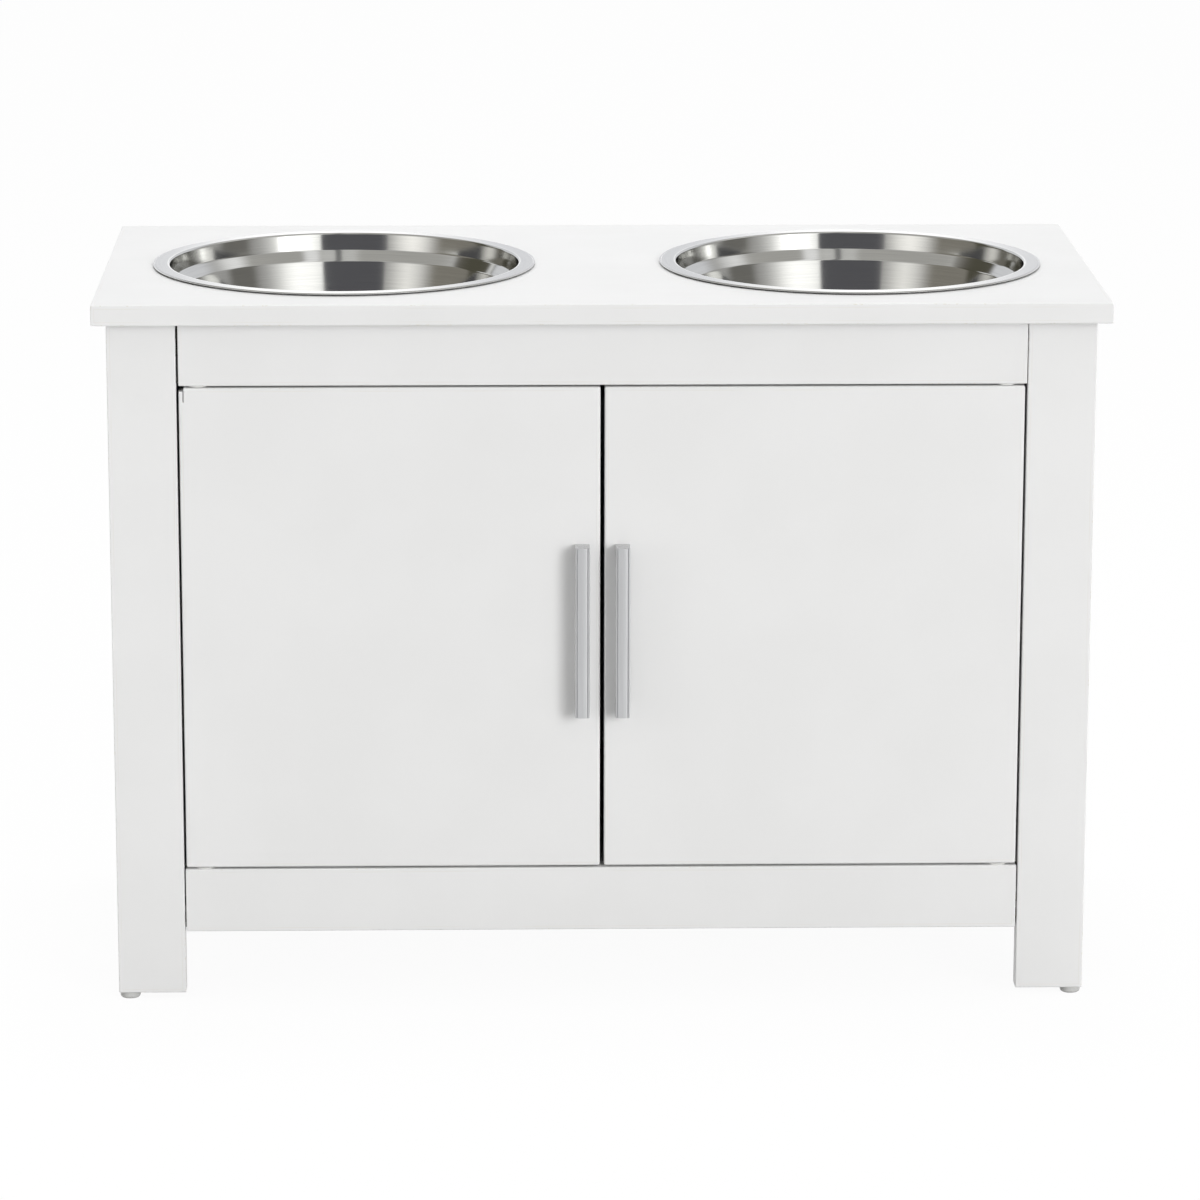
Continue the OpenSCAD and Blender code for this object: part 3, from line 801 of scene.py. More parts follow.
def combine(piece: bpy.types.Object, shapes: Iterable[bmesh.types.BMesh], operation: str) -> None:
    """Combines shapes with a piece.

    Args:
        piece: the piece.
        shapes: closed meshes, which are freed.
        operation: the Boolean modifier's operation.
    """
    tools = [place(shape, f"{piece.name}_tool") for shape in shapes]
    for tool in tools:
        step = piece.modifiers.new("combine", "BOOLEAN")
        step.operation, step.solver, step.object = operation, "EXACT", tool
    settle(piece)
    for tool in tools:
        bpy.data.objects.remove(tool)


def carve(piece: bpy.types.Object, cutters: Iterable[bmesh.types.BMesh]) -> None:
    """Cuts closed meshes out of a piece."""
    combine(piece, cutters, "DIFFERENCE")


def ease(piece: bpy.types.Object, width: float, segments: int = 2, angle: float = 50.0) -> None:
    """Rounds a piece's sharp edges.

    Args:
        piece: the piece.
        width: how far the rounding reaches.
        segments: pieces across it.
        angle: edges sharper than this many degrees are rounded.
    """
    bevel = piece.modifiers.new("ease", "BEVEL")
    bevel.width, bevel.segments, bevel.limit_method = width, segments, "ANGLE"
    bevel.angle_limit = math.radians(angle)
    settle(piece)


def shade(piece: bpy.types.Object, sharp: float = 50.0, weighted: bool = True) -> None:
    """Shades a piece smooth, with its flat faces kept flat.

    Args:
        piece: the piece.
        sharp: edges sharper than this many degrees stay sharp.
        weighted: whether large faces hold the normals at their edges.
    """
    piece.data.shade_smooth()
    piece.data.set_sharp_from_angle(angle=math.radians(sharp))
    if weighted:
        normals = piece.modifiers.new("weighted", "WEIGHTED_NORMAL")
        normals.keep_sharp = True
        settle(piece)


def outward(piece: bpy.types.Object) -> None:
    """Points a closed piece's faces outwards.

    Args:
        piece: the piece.
    """
    mesh = bmesh.new()
    mesh.from_mesh(piece.data)
    bmesh.ops.recalc_face_normals(mesh, faces=list(mesh.faces))
    mesh.to_mesh(piece.data)
    mesh.free()


def fit(piece: bpy.types.Object, body: str, nodes: Sequence[str],
        material: bpy.types.Material) -> None:
    """Gives a finished piece its material and its body, and hides the CAD nodes that it stands for.

    Args:
        piece: the piece.
        body: the body that it rides on.
        nodes: the CAD nodes that it replaces.
        material: its finish.
    """
    piece.data.materials.clear()
    piece.data.materials.append(material)
    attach(piece, body)
    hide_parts(*nodes)
    log.info("%s: %d faces, on %s, for %s", piece.name, len(piece.data.polygons), body, ", ".join(nodes))


def dress(node: str, material: bpy.types.Material) -> None:
    """Gives a CAD node a finish.

    Args:
        node: the node, which stays in the scene.
        material: its finish.
    """
    kept = frame["nodes"][node]
    if not kept.material_slots:
        kept.data.materials.append(material)
    for slot in kept.material_slots:
        slot.material = material
    log.info("%s: kept from the part, with %s", node, material.name)


# ---- Turned parts, made with Geometry Nodes ----


class TurnedTree:
    """A Geometry Nodes tree that spins a profile about its axis and sets a copy on each seat.

    The profile is a mesh of edges in x and y: x is the radius less the wheel's radius, y is the height
    downwards. The seats are the points of another object, whose attribute "along" gives each axis.
    """

    WHEEL = 0.01
    WELD = 0.001 * MM

    def __init__(self) -> None:
        """Builds the tree."""
        self.tree = bpy.data.node_groups.new("turned_parts", "GeometryNodeTree")
        self.ids: dict[str, str] = {}
        self.declare()
        self.wire()

    def declare(self) -> None:
        """Names the tree's inputs and its output."""
        face = self.tree.interface
        kinds = {"Profile": "Geometry", "Seats": "Object", "Segments": "Int", "Cross Slot": "Bool",
                 "Slot Length": "Float", "Slot Width": "Float", "Slot Depth": "Float", "Head Top": "Float",
                 "Random Turn": "Float", "Seed": "Int", "Finish": "Material"}
        for name, kind in kinds.items():
            socket = face.new_socket(name, in_out="INPUT", socket_type=f"NodeSocket{kind}")
            self.ids[name] = socket.identifier
        face.new_socket("Parts", in_out="OUTPUT", socket_type="NodeSocketGeometry")

    def add(self, kind: str, inputs: dict[str, object] | None = None, **settings: object) -> bpy.types.Node:
        """Adds a node and feeds its inputs.

        Args:
            kind: the node's type name, less its prefix.
            inputs: values or sockets by input name.
            settings: properties of the node.

        Returns:
            The new node.
        """
        node = self.tree.nodes.new(kind)
        for name, value in settings.items():
            setattr(node, name, value)
        for name, value in (inputs or {}).items():
            live = [s for s in node.inputs if s.name == name and s.enabled]
            if isinstance(value, bpy.types.NodeSocket):
                self.tree.links.new(value, live[0])
            else:
                live[0].default_value = value
        return node

    def wire(self) -> None:
        """Wires the tree: spin, cut the cross slot, set on the seats, realize, give the finish."""
        given = self.add("NodeGroupInput").outputs
        profile = self.add("GeometryNodeMeshToCurve", {"Mesh": given["Profile"]})
        wheel = self.add("GeometryNodeCurvePrimitiveCircle",
                         {"Resolution": given["Segments"], "Radius": self.WHEEL})
        spun = self.add("GeometryNodeCurveToMesh",
                        {"Curve": wheel.outputs["Curve"], "Profile Curve": profile.outputs["Curve"]})
        whole = self.add("GeometryNodeMergeByDistance",
                         {"Geometry": spun.outputs["Mesh"], "Distance": self.WELD}).outputs[0]
        cut = self.slotted(whole, given)
        slotted = self.add("GeometryNodeSwitch", {"Switch": given["Cross Slot"], "False": whole, "True": cut},
                           input_type="GEOMETRY")
        seats = self.add("GeometryNodeObjectInfo", {"Object": given["Seats"]})
        along = self.add("GeometryNodeInputNamedAttribute", {"Name": "along"}, data_type="FLOAT_VECTOR")
        aimed = self.add("FunctionNodeAlignRotationToVector",
                         {"Vector": along.outputs["Attribute"]}, axis="Z")
        chance = self.add("FunctionNodeRandomValue",
                          {"Min": 0.0, "Max": given["Random Turn"], "Seed": given["Seed"]}, data_type="FLOAT")
        spin = self.add("ShaderNodeCombineXYZ", {"Z": self.shown(chance)})
        turned = self.add("FunctionNodeRotateRotation",
                          {"Rotation": aimed.outputs[0], "Rotate By": spin.outputs[0]},
                          rotation_space="LOCAL")
        copies = self.add("GeometryNodeInstanceOnPoints",
                          {"Points": seats.outputs["Geometry"], "Instance": slotted.outputs[0],
                           "Rotation": turned.outputs[0]})
        real = self.add("GeometryNodeRealizeInstances", {"Geometry": copies.outputs[0]})
        dressed = self.add("GeometryNodeSetMaterial",
                           {"Geometry": real.outputs[0], "Material": given["Finish"]})
        self.add("NodeGroupOutput", {"Parts": dressed.outputs[0]})

    @staticmethod
    def shown(node: bpy.types.Node) -> bpy.types.NodeSocket:
        """A node's output that its settings leave in use."""
        return next(s for s in node.outputs if s.enabled)

    def slotted(self, whole: bpy.types.NodeSocket, given: bpy.types.NodeOutputs) -> bpy.types.NodeSocket:
        """Cuts a cross slot into the head.

        Args:
            whole: the spun part.
            given: the group's inputs.

        Returns:
            The part with its slot.
        """
        depth = self.add("ShaderNodeMath", operation="MULTIPLY")
        self.tree.links.new(given["Slot Depth"], depth.inputs[0])
        depth.inputs[1].default_value = 2.0
        lift = self.add("ShaderNodeCombineXYZ", {"Z": given["Head Top"]})
        cut = self.add("GeometryNodeMeshBoolean", {"Mesh 1": whole}, operation="DIFFERENCE", solver="EXACT")
        for first, second in (("Slot Length", "Slot Width"), ("Slot Width", "Slot Length")):
            size = self.add("ShaderNodeCombineXYZ",
                            {"X": given[first], "Y": given[second], "Z": depth.outputs[0]})
            bar = self.add("GeometryNodeMeshCube", {"Size": size.outputs[0]})
            bar = self.add("GeometryNodeTransform",
                           {"Geometry": bar.outputs["Mesh"], "Translation": lift.outputs[0]})
            self.tree.links.new(bar.outputs[0], cut.inputs["Mesh 2"])
        return cut.outputs["Mesh"]

    def make(self, name: str, profile: Path, seats: Sequence[tuple[Vector, Vector]],
             finish: bpy.types.Material, **values: float) -> bpy.types.Object:
        """Makes one mesh of turned parts.

        Args:
            name: the piece's name.
            profile: its radii and heights, from the axis round to the axis.
            seats: each part's place and the direction of its axis.
            finish: its material.
            values: further inputs of the tree, by name with _ for a space.

        Returns:
            The piece, with its faces outwards.
        """
        seat_mesh = bpy.data.meshes.new(f"{name}_seats")
        seat_mesh.from_pydata([tuple(p) for p, _ in seats], [], [])
        along = seat_mesh.attributes.new("along", "FLOAT_VECTOR", "POINT")
        for item, (_, direction) in zip(along.data, seats):
            item.vector = direction
        seat = bpy.data.objects.new(f"{name}_seats", seat_mesh)
        bpy.context.scene.collection.objects.link(seat)
        data = bpy.data.meshes.new(name)
        edges = [(i, i + 1) for i in range(len(profile) - 1)]
        data.from_pydata([(r - self.WHEEL, -z, 0.0) for r, z in profile], edges, [])
        piece = bpy.data.objects.new(name, data)
        modifier = piece.modifiers.new("turned", "NODES")
        modifier.node_group = self.tree
        inputs = {"Seats": seat, "Segments": 48, "Cross Slot": False, "Slot Length": 2 * MM,
                  "Slot Width": 0.5 * MM, "Slot Depth": MM, "Head Top": MM, "Random Turn": 0.0, "Seed": 7,
                  "Finish": finish}
        inputs.update({key.replace("_", " ").title(): value for key, value in values.items()})
        for key, value in inputs.items():
            modifier[self.ids[key]] = value
        bpy.context.scene.collection.objects.link(piece)
        bpy.context.view_layer.update()
        settle(piece)
        bpy.data.objects.remove(seat)
        outward(piece)
        return piece


# ---- Boards ----


@dataclass
class TopPanel:
    """The top panel with its two round cut-outs."""

    foil: WhiteFoil
    rounding: float = 0.8 * MM
    cut_out_r: float = 133.9 * MM

    def build(self) -> None:
        """Makes the panel."""
        low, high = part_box("top_panel")
        piece = place(block(low, high, self.rounding), "top_board")
        carve(piece, [drum(bowl_middle(side), self.cut_out_r, 3 * (high.z - low.z)) for side in Side])
        shade(piece)
        material = self.foil.material("foil_top", low, high, Axis.X)
        fit(piece, "cabinet", ["top_panel"], material)


def bowl_middle(side: Side) -> Vector:
    """The middle of a bowl's rim, at the rim's top."""
    low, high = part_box(f"{side.word}_bowl")
    return over(low, high, high.z)


@dataclass
class FrontFrame:
    """The two stiles, whose lower ends are the front legs, and the two rails between them."""

    foil: WhiteFoil
    rounding: float = 0.9 * MM
    left_gap: float = 1.7 * MM
    foot_gap: float = 1.0 * MM
    right_gap: float = 0.55 * MM
    tongue_at: float = 9.0 * MM
    tongue_inset: float = MM

    def board(self, node: str, name: str, along: Axis, low: Vector, high: Vector,
              tongues: Sequence[bmesh.types.BMesh] = ()) -> None:
        """Makes one board of the frame.

        Args:
            node: the CAD node that it stands for.
            name: the piece's name.
            along: the direction of its grain.
            low: its lowest corner.
            high: its highest corner.
            tongues: shapes that stand on its ends.
        """
        piece = place(block(low, high, self.rounding), name)
        if tongues:
            combine(piece, tongues, "UNION")
        shade(piece)
        material = self.foil.material(f"foil_{name}", low, high, along)
        fit(piece, "cabinet", [node], material)

    def joints(self) -> list[tuple[float, float]]:
        """The lowest and highest x of the open joints at the rails' ends."""
        low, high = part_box("top_front_rail")
        return [(low.x, low.x + self.left_gap), (high.x - self.right_gap, high.x)]

    def build(self) -> None:
        """Makes the four boards, with the open joints at the rails' ends."""
        for side in Side:
            low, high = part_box(f"{side.word}_stile")
            self.board(f"{side.word}_stile", f"{side.word}_stile_board", Axis.Z, low, high)
        gaps = {"top": (self.left_gap, self.right_gap), "bottom": (self.foot_gap, self.foot_gap)}
        for word, (left, right) in gaps.items():
            low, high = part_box(f"{word}_front_rail")
            ends = low.x, high.x
            low.x += left
            high.x -= right
            tongues = self.tongues(low, high, ends)
            self.board(f"{word}_front_rail", f"{word}_rail_board", Axis.X, low, high, tongues)

    def tongues(self, low: Vector, high: Vector, ends: tuple[float, float]) -> list[bmesh.types.BMesh]:
        """The tongues of a rail, which close its open joints from behind.

        Args:
            low: the rail's lowest corner, without its tongues.
            high: its highest corner, without its tongues.
            ends: the x that each tongue reaches.

        Returns:
            The two tongues.
        """
        inset = self.tongue_inset
        made = []
        for end, root in zip(ends, (low.x + 2 * inset, high.x - 2 * inset)):
            made.append(block(Vector((min(end, root), low.y + self.tongue_at, low.z + inset)),
                              Vector((max(end, root), high.y - inset, high.z - inset)), 0.0))
        return made


@dataclass
class Carcass:
    """The boards behind the front: their shapes come from the part, with their drilled holes."""

    foil: WhiteFoil

    def build(self) -> None:
        """Dresses the side panels, the floor, the rear rails and the back panel."""
        grain = {"left_side_panel": Axis.Z, "right_side_panel": Axis.Z, "floor_panel": Axis.X,
                 "rear_top_rail": Axis.X, "rear_bottom_rail": Axis.X, "back_panel": Axis.X}
        for node, along in grain.items():
            low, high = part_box(node)
            dress(node, self.foil.material(f"foil_{node}", low, high, along))


# ---- Doors ----


@dataclass
class Door:
    """One door with its handle, pivot pins, strike plate and screws."""

    side: Side
    foil: WhiteFoil
    metal: SatinMetal
    zinc: bpy.types.Material
    turned: TurnedTree
    rounding: float = 1.5 * MM
    handle_bar: float = 6.0 * MM
    handle_post: float = 8.0 * MM
    handle_easing: float = 0.9 * MM
    handle_dome: float = 0.7 * MM
    groove_inset: float = 1.3 * MM
    groove_half: float = 0.42 * MM
    groove_depth: float = 0.7 * MM
    handle_inner: float = 2.5 * MM
    screw_head: tuple[float, float] = (8.0 * MM, 2.4 * MM)
    screw_shaft: float = 4.0 * MM
    handle_steps: int = 8
    handle_edge: float = 0.22 * MM
    plate_room: float = 0.15 * MM
    chip: tuple[float, float, float] = (3.7 * MM, 16.0 * MM, 2.5 * MM)
    crack: tuple[float, float, float] = (0.8 * MM, 3.0 * MM, 8.0 * MM)

    @property
    def body(self) -> str:
        """The body that the door's pieces ride on."""
        return f"{self.side.word}_door"

    def leaf(self) -> None:
        """Makes the door itself, with the recess of its strike plate."""
        low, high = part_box(self.body)
        piece = place(block(low, high, self.rounding), f"{self.body}_leaf")
        plate_low, plate_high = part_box(f"{self.side.word}_strike_plate")
        room = Vector((self.plate_room, 0.0, self.plate_room))
        cutters = [block(plate_low - room, plate_high + room + BACK * 5 * MM, 0.0)]
        if self.side is Side.LEFT:
            cutters += self.chipped(low, high)
        carve(piece, cutters)
        shade(piece)
        material = self.foil.material(f"foil_{self.body}", low, high, Axis.Z)
        fit(piece, self.body, [self.body], material)

    def chipped(self, low: Vector, high: Vector) -> list[bmesh.types.BMesh]:
        """The cutters of the chip in the left door's upper outer corner and of the crack below it.

        Args:
            low: the door's lowest corner.
            high: its highest corner.

        Returns:
            The two cutters.
        """
        width, depth, height = self.chip
        x, foot, front = low.x + width, high.z - height, low.y - MM
        chip = block(Vector((low.x - MM, front, foot)), Vector((x, low.y + depth, high.z + MM)), 0.0)
        width, depth, length = self.crack
        crack = block(Vector((x - width, front, foot - length)),
                      Vector((x, low.y + depth, foot + 0.1 * MM)), 0.0)
        return [chip, crack]

    def handle(self) -> None:
        """Makes the bar handle: a domed bar with a post at either end, in one piece."""
        node = f"{self.side.word}_handle"
        low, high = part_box(node)
        half, mid = (high.x - low.x) / 2, (low.x + high.x) / 2
        flat = half - self.handle_easing
        dome_r = (flat**2 + self.handle_dome**2) / (2 * self.handle_dome)
        reach = math.asin(flat / dome_r)
        edge_y = low.y + self.handle_dome
        right: Path = []
        for k in range(self.handle_steps + 1):
            a = reach * k / self.handle_steps
            right.append((dome_r * math.sin(a), low.y + dome_r * (1 - math.cos(a))))
        for k in range(1, self.handle_steps + 1):
            a = reach + (math.pi / 2 - reach) * k / self.handle_steps
            right.append((flat + self.handle_easing * (math.sin(a) - math.sin(reach)),
                          edge_y + self.handle_easing * (math.cos(reach) - math.cos(a))))
        widest = right[-1][0]
        right = [(x * half / widest, y) for x, y in right]
        middle_x = half - self.groove_inset
        lips = [(x, y) for x, y in right if abs(x - middle_x) > self.groove_half]
        groove = [(middle_x + k * self.groove_half, low.y + self.handle_dome * (middle_x / flat) ** 2
                   + (self.groove_depth if k == 0 else 0.0)) for k in (-1, 0, 1)]
        right = sorted([*lips, *groove])
        front = [(mid - x, y) for x, y in right[:0:-1]] + [(mid + x, y) for x, y in right]
        outline = [(high.x, high.y), (low.x, high.y), *front]
        piece = place(prism(outline, low.z, high.z), f"{node}_bar")
        gap_low = Vector((low.x - MM, low.y + self.handle_bar, low.z + self.handle_post))
        gap_high = Vector((high.x + MM, high.y + 4 * self.handle_inner, high.z - self.handle_post))
        gap = block(gap_low, gap_high, 0.0)
        inner = [e for e in gap.edges if all(v.co.y < low.y + self.handle_bar + MM for v in e.verts)
                 and abs(e.verts[0].co.x - e.verts[1].co.x) > MM]
        bmesh.ops.bevel(gap, geom=inner, offset=self.handle_inner, segments=6, profile=0.5, affect="EDGES")
        carve(piece, [gap])
        ease(piece, self.handle_edge, 2, 60.0)
        shade(piece, FINE)
        fit(piece, self.body, [node], self.metal.material(f"satin_{node}", low, high))

    def screws(self) -> None:
        """Makes the handle's two screws, whose heads show inside the door."""
        node = f"{self.side.word}_handle_screws"
        low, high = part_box(node)
        width, height = self.screw_head
        x, seat = (low.x + high.x) / 2, high.y - height
        seats = [(Vector((x, seat, z)), BACK) for z in (low.z + width / 2, high.z - width / 2)]
        length = seat - low.y
        r, shaft = width / 2, self.screw_shaft / 2
        profile = path_of([
            (0.0, -length, 0), (0.6 * shaft, -length, 0), (shaft, -length + shaft, 0), (shaft, 0.0, 0),
            (r, 0.0, 0), (r, 0.35 * height, 0.3 * MM), (0.72 * r, height, 0.9 * MM), (0.0, height, 0),
        ], 4)
        piece = self.turned.make(f"{self.side.word}_handle_screw_pair", profile, seats, self.zinc,
                                 segments=40, cross_slot=True, slot_length=0.6 * width,
                                 slot_width=0.13 * width, slot_depth=0.5 * height, head_top=height,
                                 random_turn=math.pi, seed=11 + self.side.value)
        shade(piece, FINE)
        fit(piece, self.body, [node], self.zinc)

    def pins(self) -> None:
        """Makes the pivot pins at the top and the bottom of the door."""
        nodes = [f"{self.side.word}_{end}_pivot_pin" for end in ("upper", "lower")]
        boxes = [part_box(node) for node in nodes]
        low, high = boxes[0]
        r, length, bevel = (high.x - low.x) / 2, high.z - low.z, 0.5 * MM
        profile = [(0.0, 0.0), (r - bevel, 0.0), (r, bevel),
                   (r, length - bevel), (r - bevel, length), (0.0, length)]
        seats = [(over(a, b, a.z), UP) for a, b in boxes]
        piece = self.turned.make(f"{self.side.word}_pivot_pin_pair", profile, seats, self.zinc, segments=32)
        shade(piece, FINE)
        fit(piece, self.body, nodes, self.zinc)

    def strike(self) -> None:
        """Dresses the strike plate and its screw."""
        dress(f"{self.side.word}_strike_plate", self.zinc)
        dress(f"{self.side.word}_strike_screw", self.zinc)

    def build(self) -> None:
        """Makes the door and all that moves with it."""
        self.leaf()
        self.handle()
        self.screws()
        self.pins()
        self.strike()


# ---- Bowls ----


@dataclass
class Bowl:
    """One pressed steel bowl, hanging by its flange."""

    side: Side
    steel: PolishedSteel
    turned: TurnedTree
    sheet: float = 0.9 * MM
    bead: float = 0.72 * MM
    rim_height: float = 1.15 * MM
    mouth_r: float = 131.5 * MM
    lean: float = 1.8 * MM
    shoulder_down: float = 13.0 * MM
    shoulder_h: float = 8.0 * MM
    shoulder_in: float = 5.4 * MM
    bottom_r: float = 107.0 * MM
    depth: float = 90.0 * MM
    rounding: tuple[float, ...] = (1.6 * MM, 2.5 * MM, 4.0 * MM, 22.0 * MM)

    def build(self) -> None:
        """Makes the bowl as one closed shell."""
        node = f"{self.side.word}_bowl"
        low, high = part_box(node)
        rim_r = (high.x - low.x) / 2
        mouth, upper, lower, bottom = self.rounding
        inner = path_of([
            (rim_r - 1.1 * self.bead, -self.rim_height, 0),
            (rim_r, -self.rim_height, self.bead),
            (rim_r, 0.0, self.bead),
            (self.mouth_r, 0.0, mouth),
            (self.mouth_r - self.lean, -self.shoulder_down, upper),
            (self.mouth_r - self.lean - self.shoulder_in, -self.shoulder_down - self.shoulder_h, lower),
            (self.bottom_r, -self.depth, bottom),
            (0.0, -self.depth, 0),
        ], 10)
        inner = with_support(inner, 0.7 * MM)
        outer = moved(inner, self.sheet)
        profile = [*inner[::-1], *outer]
        middle = bowl_middle(self.side)
        material = self.steel.material(f"steel_{node}", middle)
        piece = self.turned.make(f"{node}_pressing", profile, [(middle, UP)], material, segments=256)
        shade(piece, 60.0, weighted=False)
        fit(piece, node, [node], material)


# ---- Fittings ----


@dataclass
class Fittings:
    """Bushings, catches, glides, cams, dowels, screws and nails of the cabinet."""

    zinc: bpy.types.Material
    plastic: bpy.types.Material
    glide_plastic: bpy.types.Material
    ferrite: bpy.types.Material
    wood: bpy.types.Material
    turned: TurnedTree
    edge_r: float = 0.3 * MM
    flange_t: float = 1.2 * MM
    bushing_r: float = 4.5 * MM
    bushing_bore_r: float = 2.55 * MM
    glide_rounding: float = 2.0 * MM
    nail_inset: float = 3.5 * MM
    nail_rail_up: float = 9.0 * MM
    nail_shaft_r: float = 0.7 * MM
    nail_head_r: float = 1.8 * MM
    nail_head_h: float = 0.6 * MM
    nail_columns: int = 4
    nail_rows: int = 5

    def bushings(self) -> None:
        """Makes the four flanged bushings in the rails."""
        nodes, seats = [], []
        depth = 0.0
        for side in Side:
            for end, up in (("upper", 1.0), ("lower", -1.0)):
                node = f"{side.word}_{end}_bushing"
                low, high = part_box(node)
                depth, flange_r = high.z - low.z - self.flange_t, (high.x - low.x) / 2
                z = low.z + self.flange_t if up > 0 else high.z - self.flange_t
                seats.append((over(low, high, z), up * UP))
                nodes.append(node)
        profile = path_of([
            (self.bushing_bore_r, depth, 0), (self.bushing_bore_r, -self.flange_t, 0),
            (flange_r, -self.flange_t, self.edge_r), (flange_r, 0.0, self.edge_r), (self.bushing_r, 0.0, 0),
            (self.bushing_r, depth, self.edge_r), (self.bushing_bore_r, depth, 0),
        ], 4)
        piece = self.turned.make("pivot_bushings", profile, seats, self.plastic, segments=48)
        shade(piece, FINE)
        fit(piece, "cabinet", nodes, self.plastic)

    def glides(self) -> None:
        """Makes the four round glides under the legs."""
        nodes = [f"{end}_{side.word}_glide" for end in ("front", "rear") for side in Side]
        seats = []
        r = height = 0.0
        for node in nodes:
            low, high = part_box(node)
            r, height = (high.x - low.x) / 2, high.z - low.z
            seats.append((over(low, high, low.z), UP))
        profile = path_of([
            (0.0, 0.0, 0), (r, 0.0, self.glide_rounding), (r, height, self.edge_r), (0.0, height, 0),
        ], 6)
        piece = self.turned.make("leg_glides", profile, seats, self.glide_plastic, segments=56)
        shade(piece, 40.0)
        fit(piece, "cabinet", nodes, self.glide_plastic)

    def back_nails(self) -> None:
        """Makes the nails that hold the back panel."""
        low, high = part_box("back_panel")
        top_rail, bottom_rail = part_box("rear_top_rail"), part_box("rear_bottom_rail")
        reach = high.x - self.nail_inset
        columns, rows = self.nail_columns, self.nail_rows
        places = [(side.value * reach, low.z + (high.z - low.z) * (k + 0.5) / rows)
                  for side in Side for k in range(rows)]
        heights = (top_rail[0].z + self.nail_rail_up, (bottom_rail[0].z + bottom_rail[1].z) / 2)
        span = top_rail[1].x
        places += [(-span + 2 * span * (k + 0.5) / columns, z) for k in range(columns) for z in heights]
        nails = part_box("back_panel_nails")
        seat = nails[1].y - self.nail_head_h
        length = seat - nails[0].y
        shaft, head = self.nail_shaft_r, self.nail_head_r
        profile = path_of([
            (0.0, -length, 0), (0.3 * shaft, -length, 0), (shaft, -length + 2 * shaft, 0), (shaft, 0.0, 0),
            (head, 0.0, 0), (head, 0.4 * self.nail_head_h, 0), (0.75 * head, self.nail_head_h, 0),
            (0.0, self.nail_head_h, 0),
        ])
        seats = [(Vector((x, seat, z)), BACK) for x, z in places]
        piece = self.turned.make("back_nails", profile, seats, self.zinc, segments=24)
        shade(piece, FINE)
        fit(piece, "cabinet", ["back_panel_nails"], self.zinc)

    def kept(self) -> None:
        """Dresses the fittings whose shapes come from the part."""
        for side in Side:
            dress(f"{side.word}_catch_housing", self.plastic)
            dress(f"{side.word}_catch_magnet", self.ferrite)
            dress(f"{side.word}_catch_poles", self.zinc)
        for node in ("catch_screws", "glide_nails", "cam_discs", "cam_studs"):
            dress(node, self.zinc)
        dress("wood_dowels", self.wood)

    def build(self) -> None:
        """Makes and dresses all fittings."""
        self.bushings()
        self.glides()
        self.back_nails()
        self.kept()


# ---- Studio ----


@dataclass(frozen=True)
class Panel:
    """A panel of the studio, as the polished steel sees it.

    Angles are in degrees, with azimuth 0 in front and 90 on the right.
    """

    azimuth: float
    half_width: float
    elevation: float
    half_height: float
    softness: float
    light: Colour


@dataclass(frozen=True)
class Lamp:
    """A soft box: its direction from its target in degrees, its distance, size and power."""

    target: Vector
    azimuth: float
    elevation: float
    distance: float
    size: tuple[float, float]
    watts: float
    mirrored: bool = True


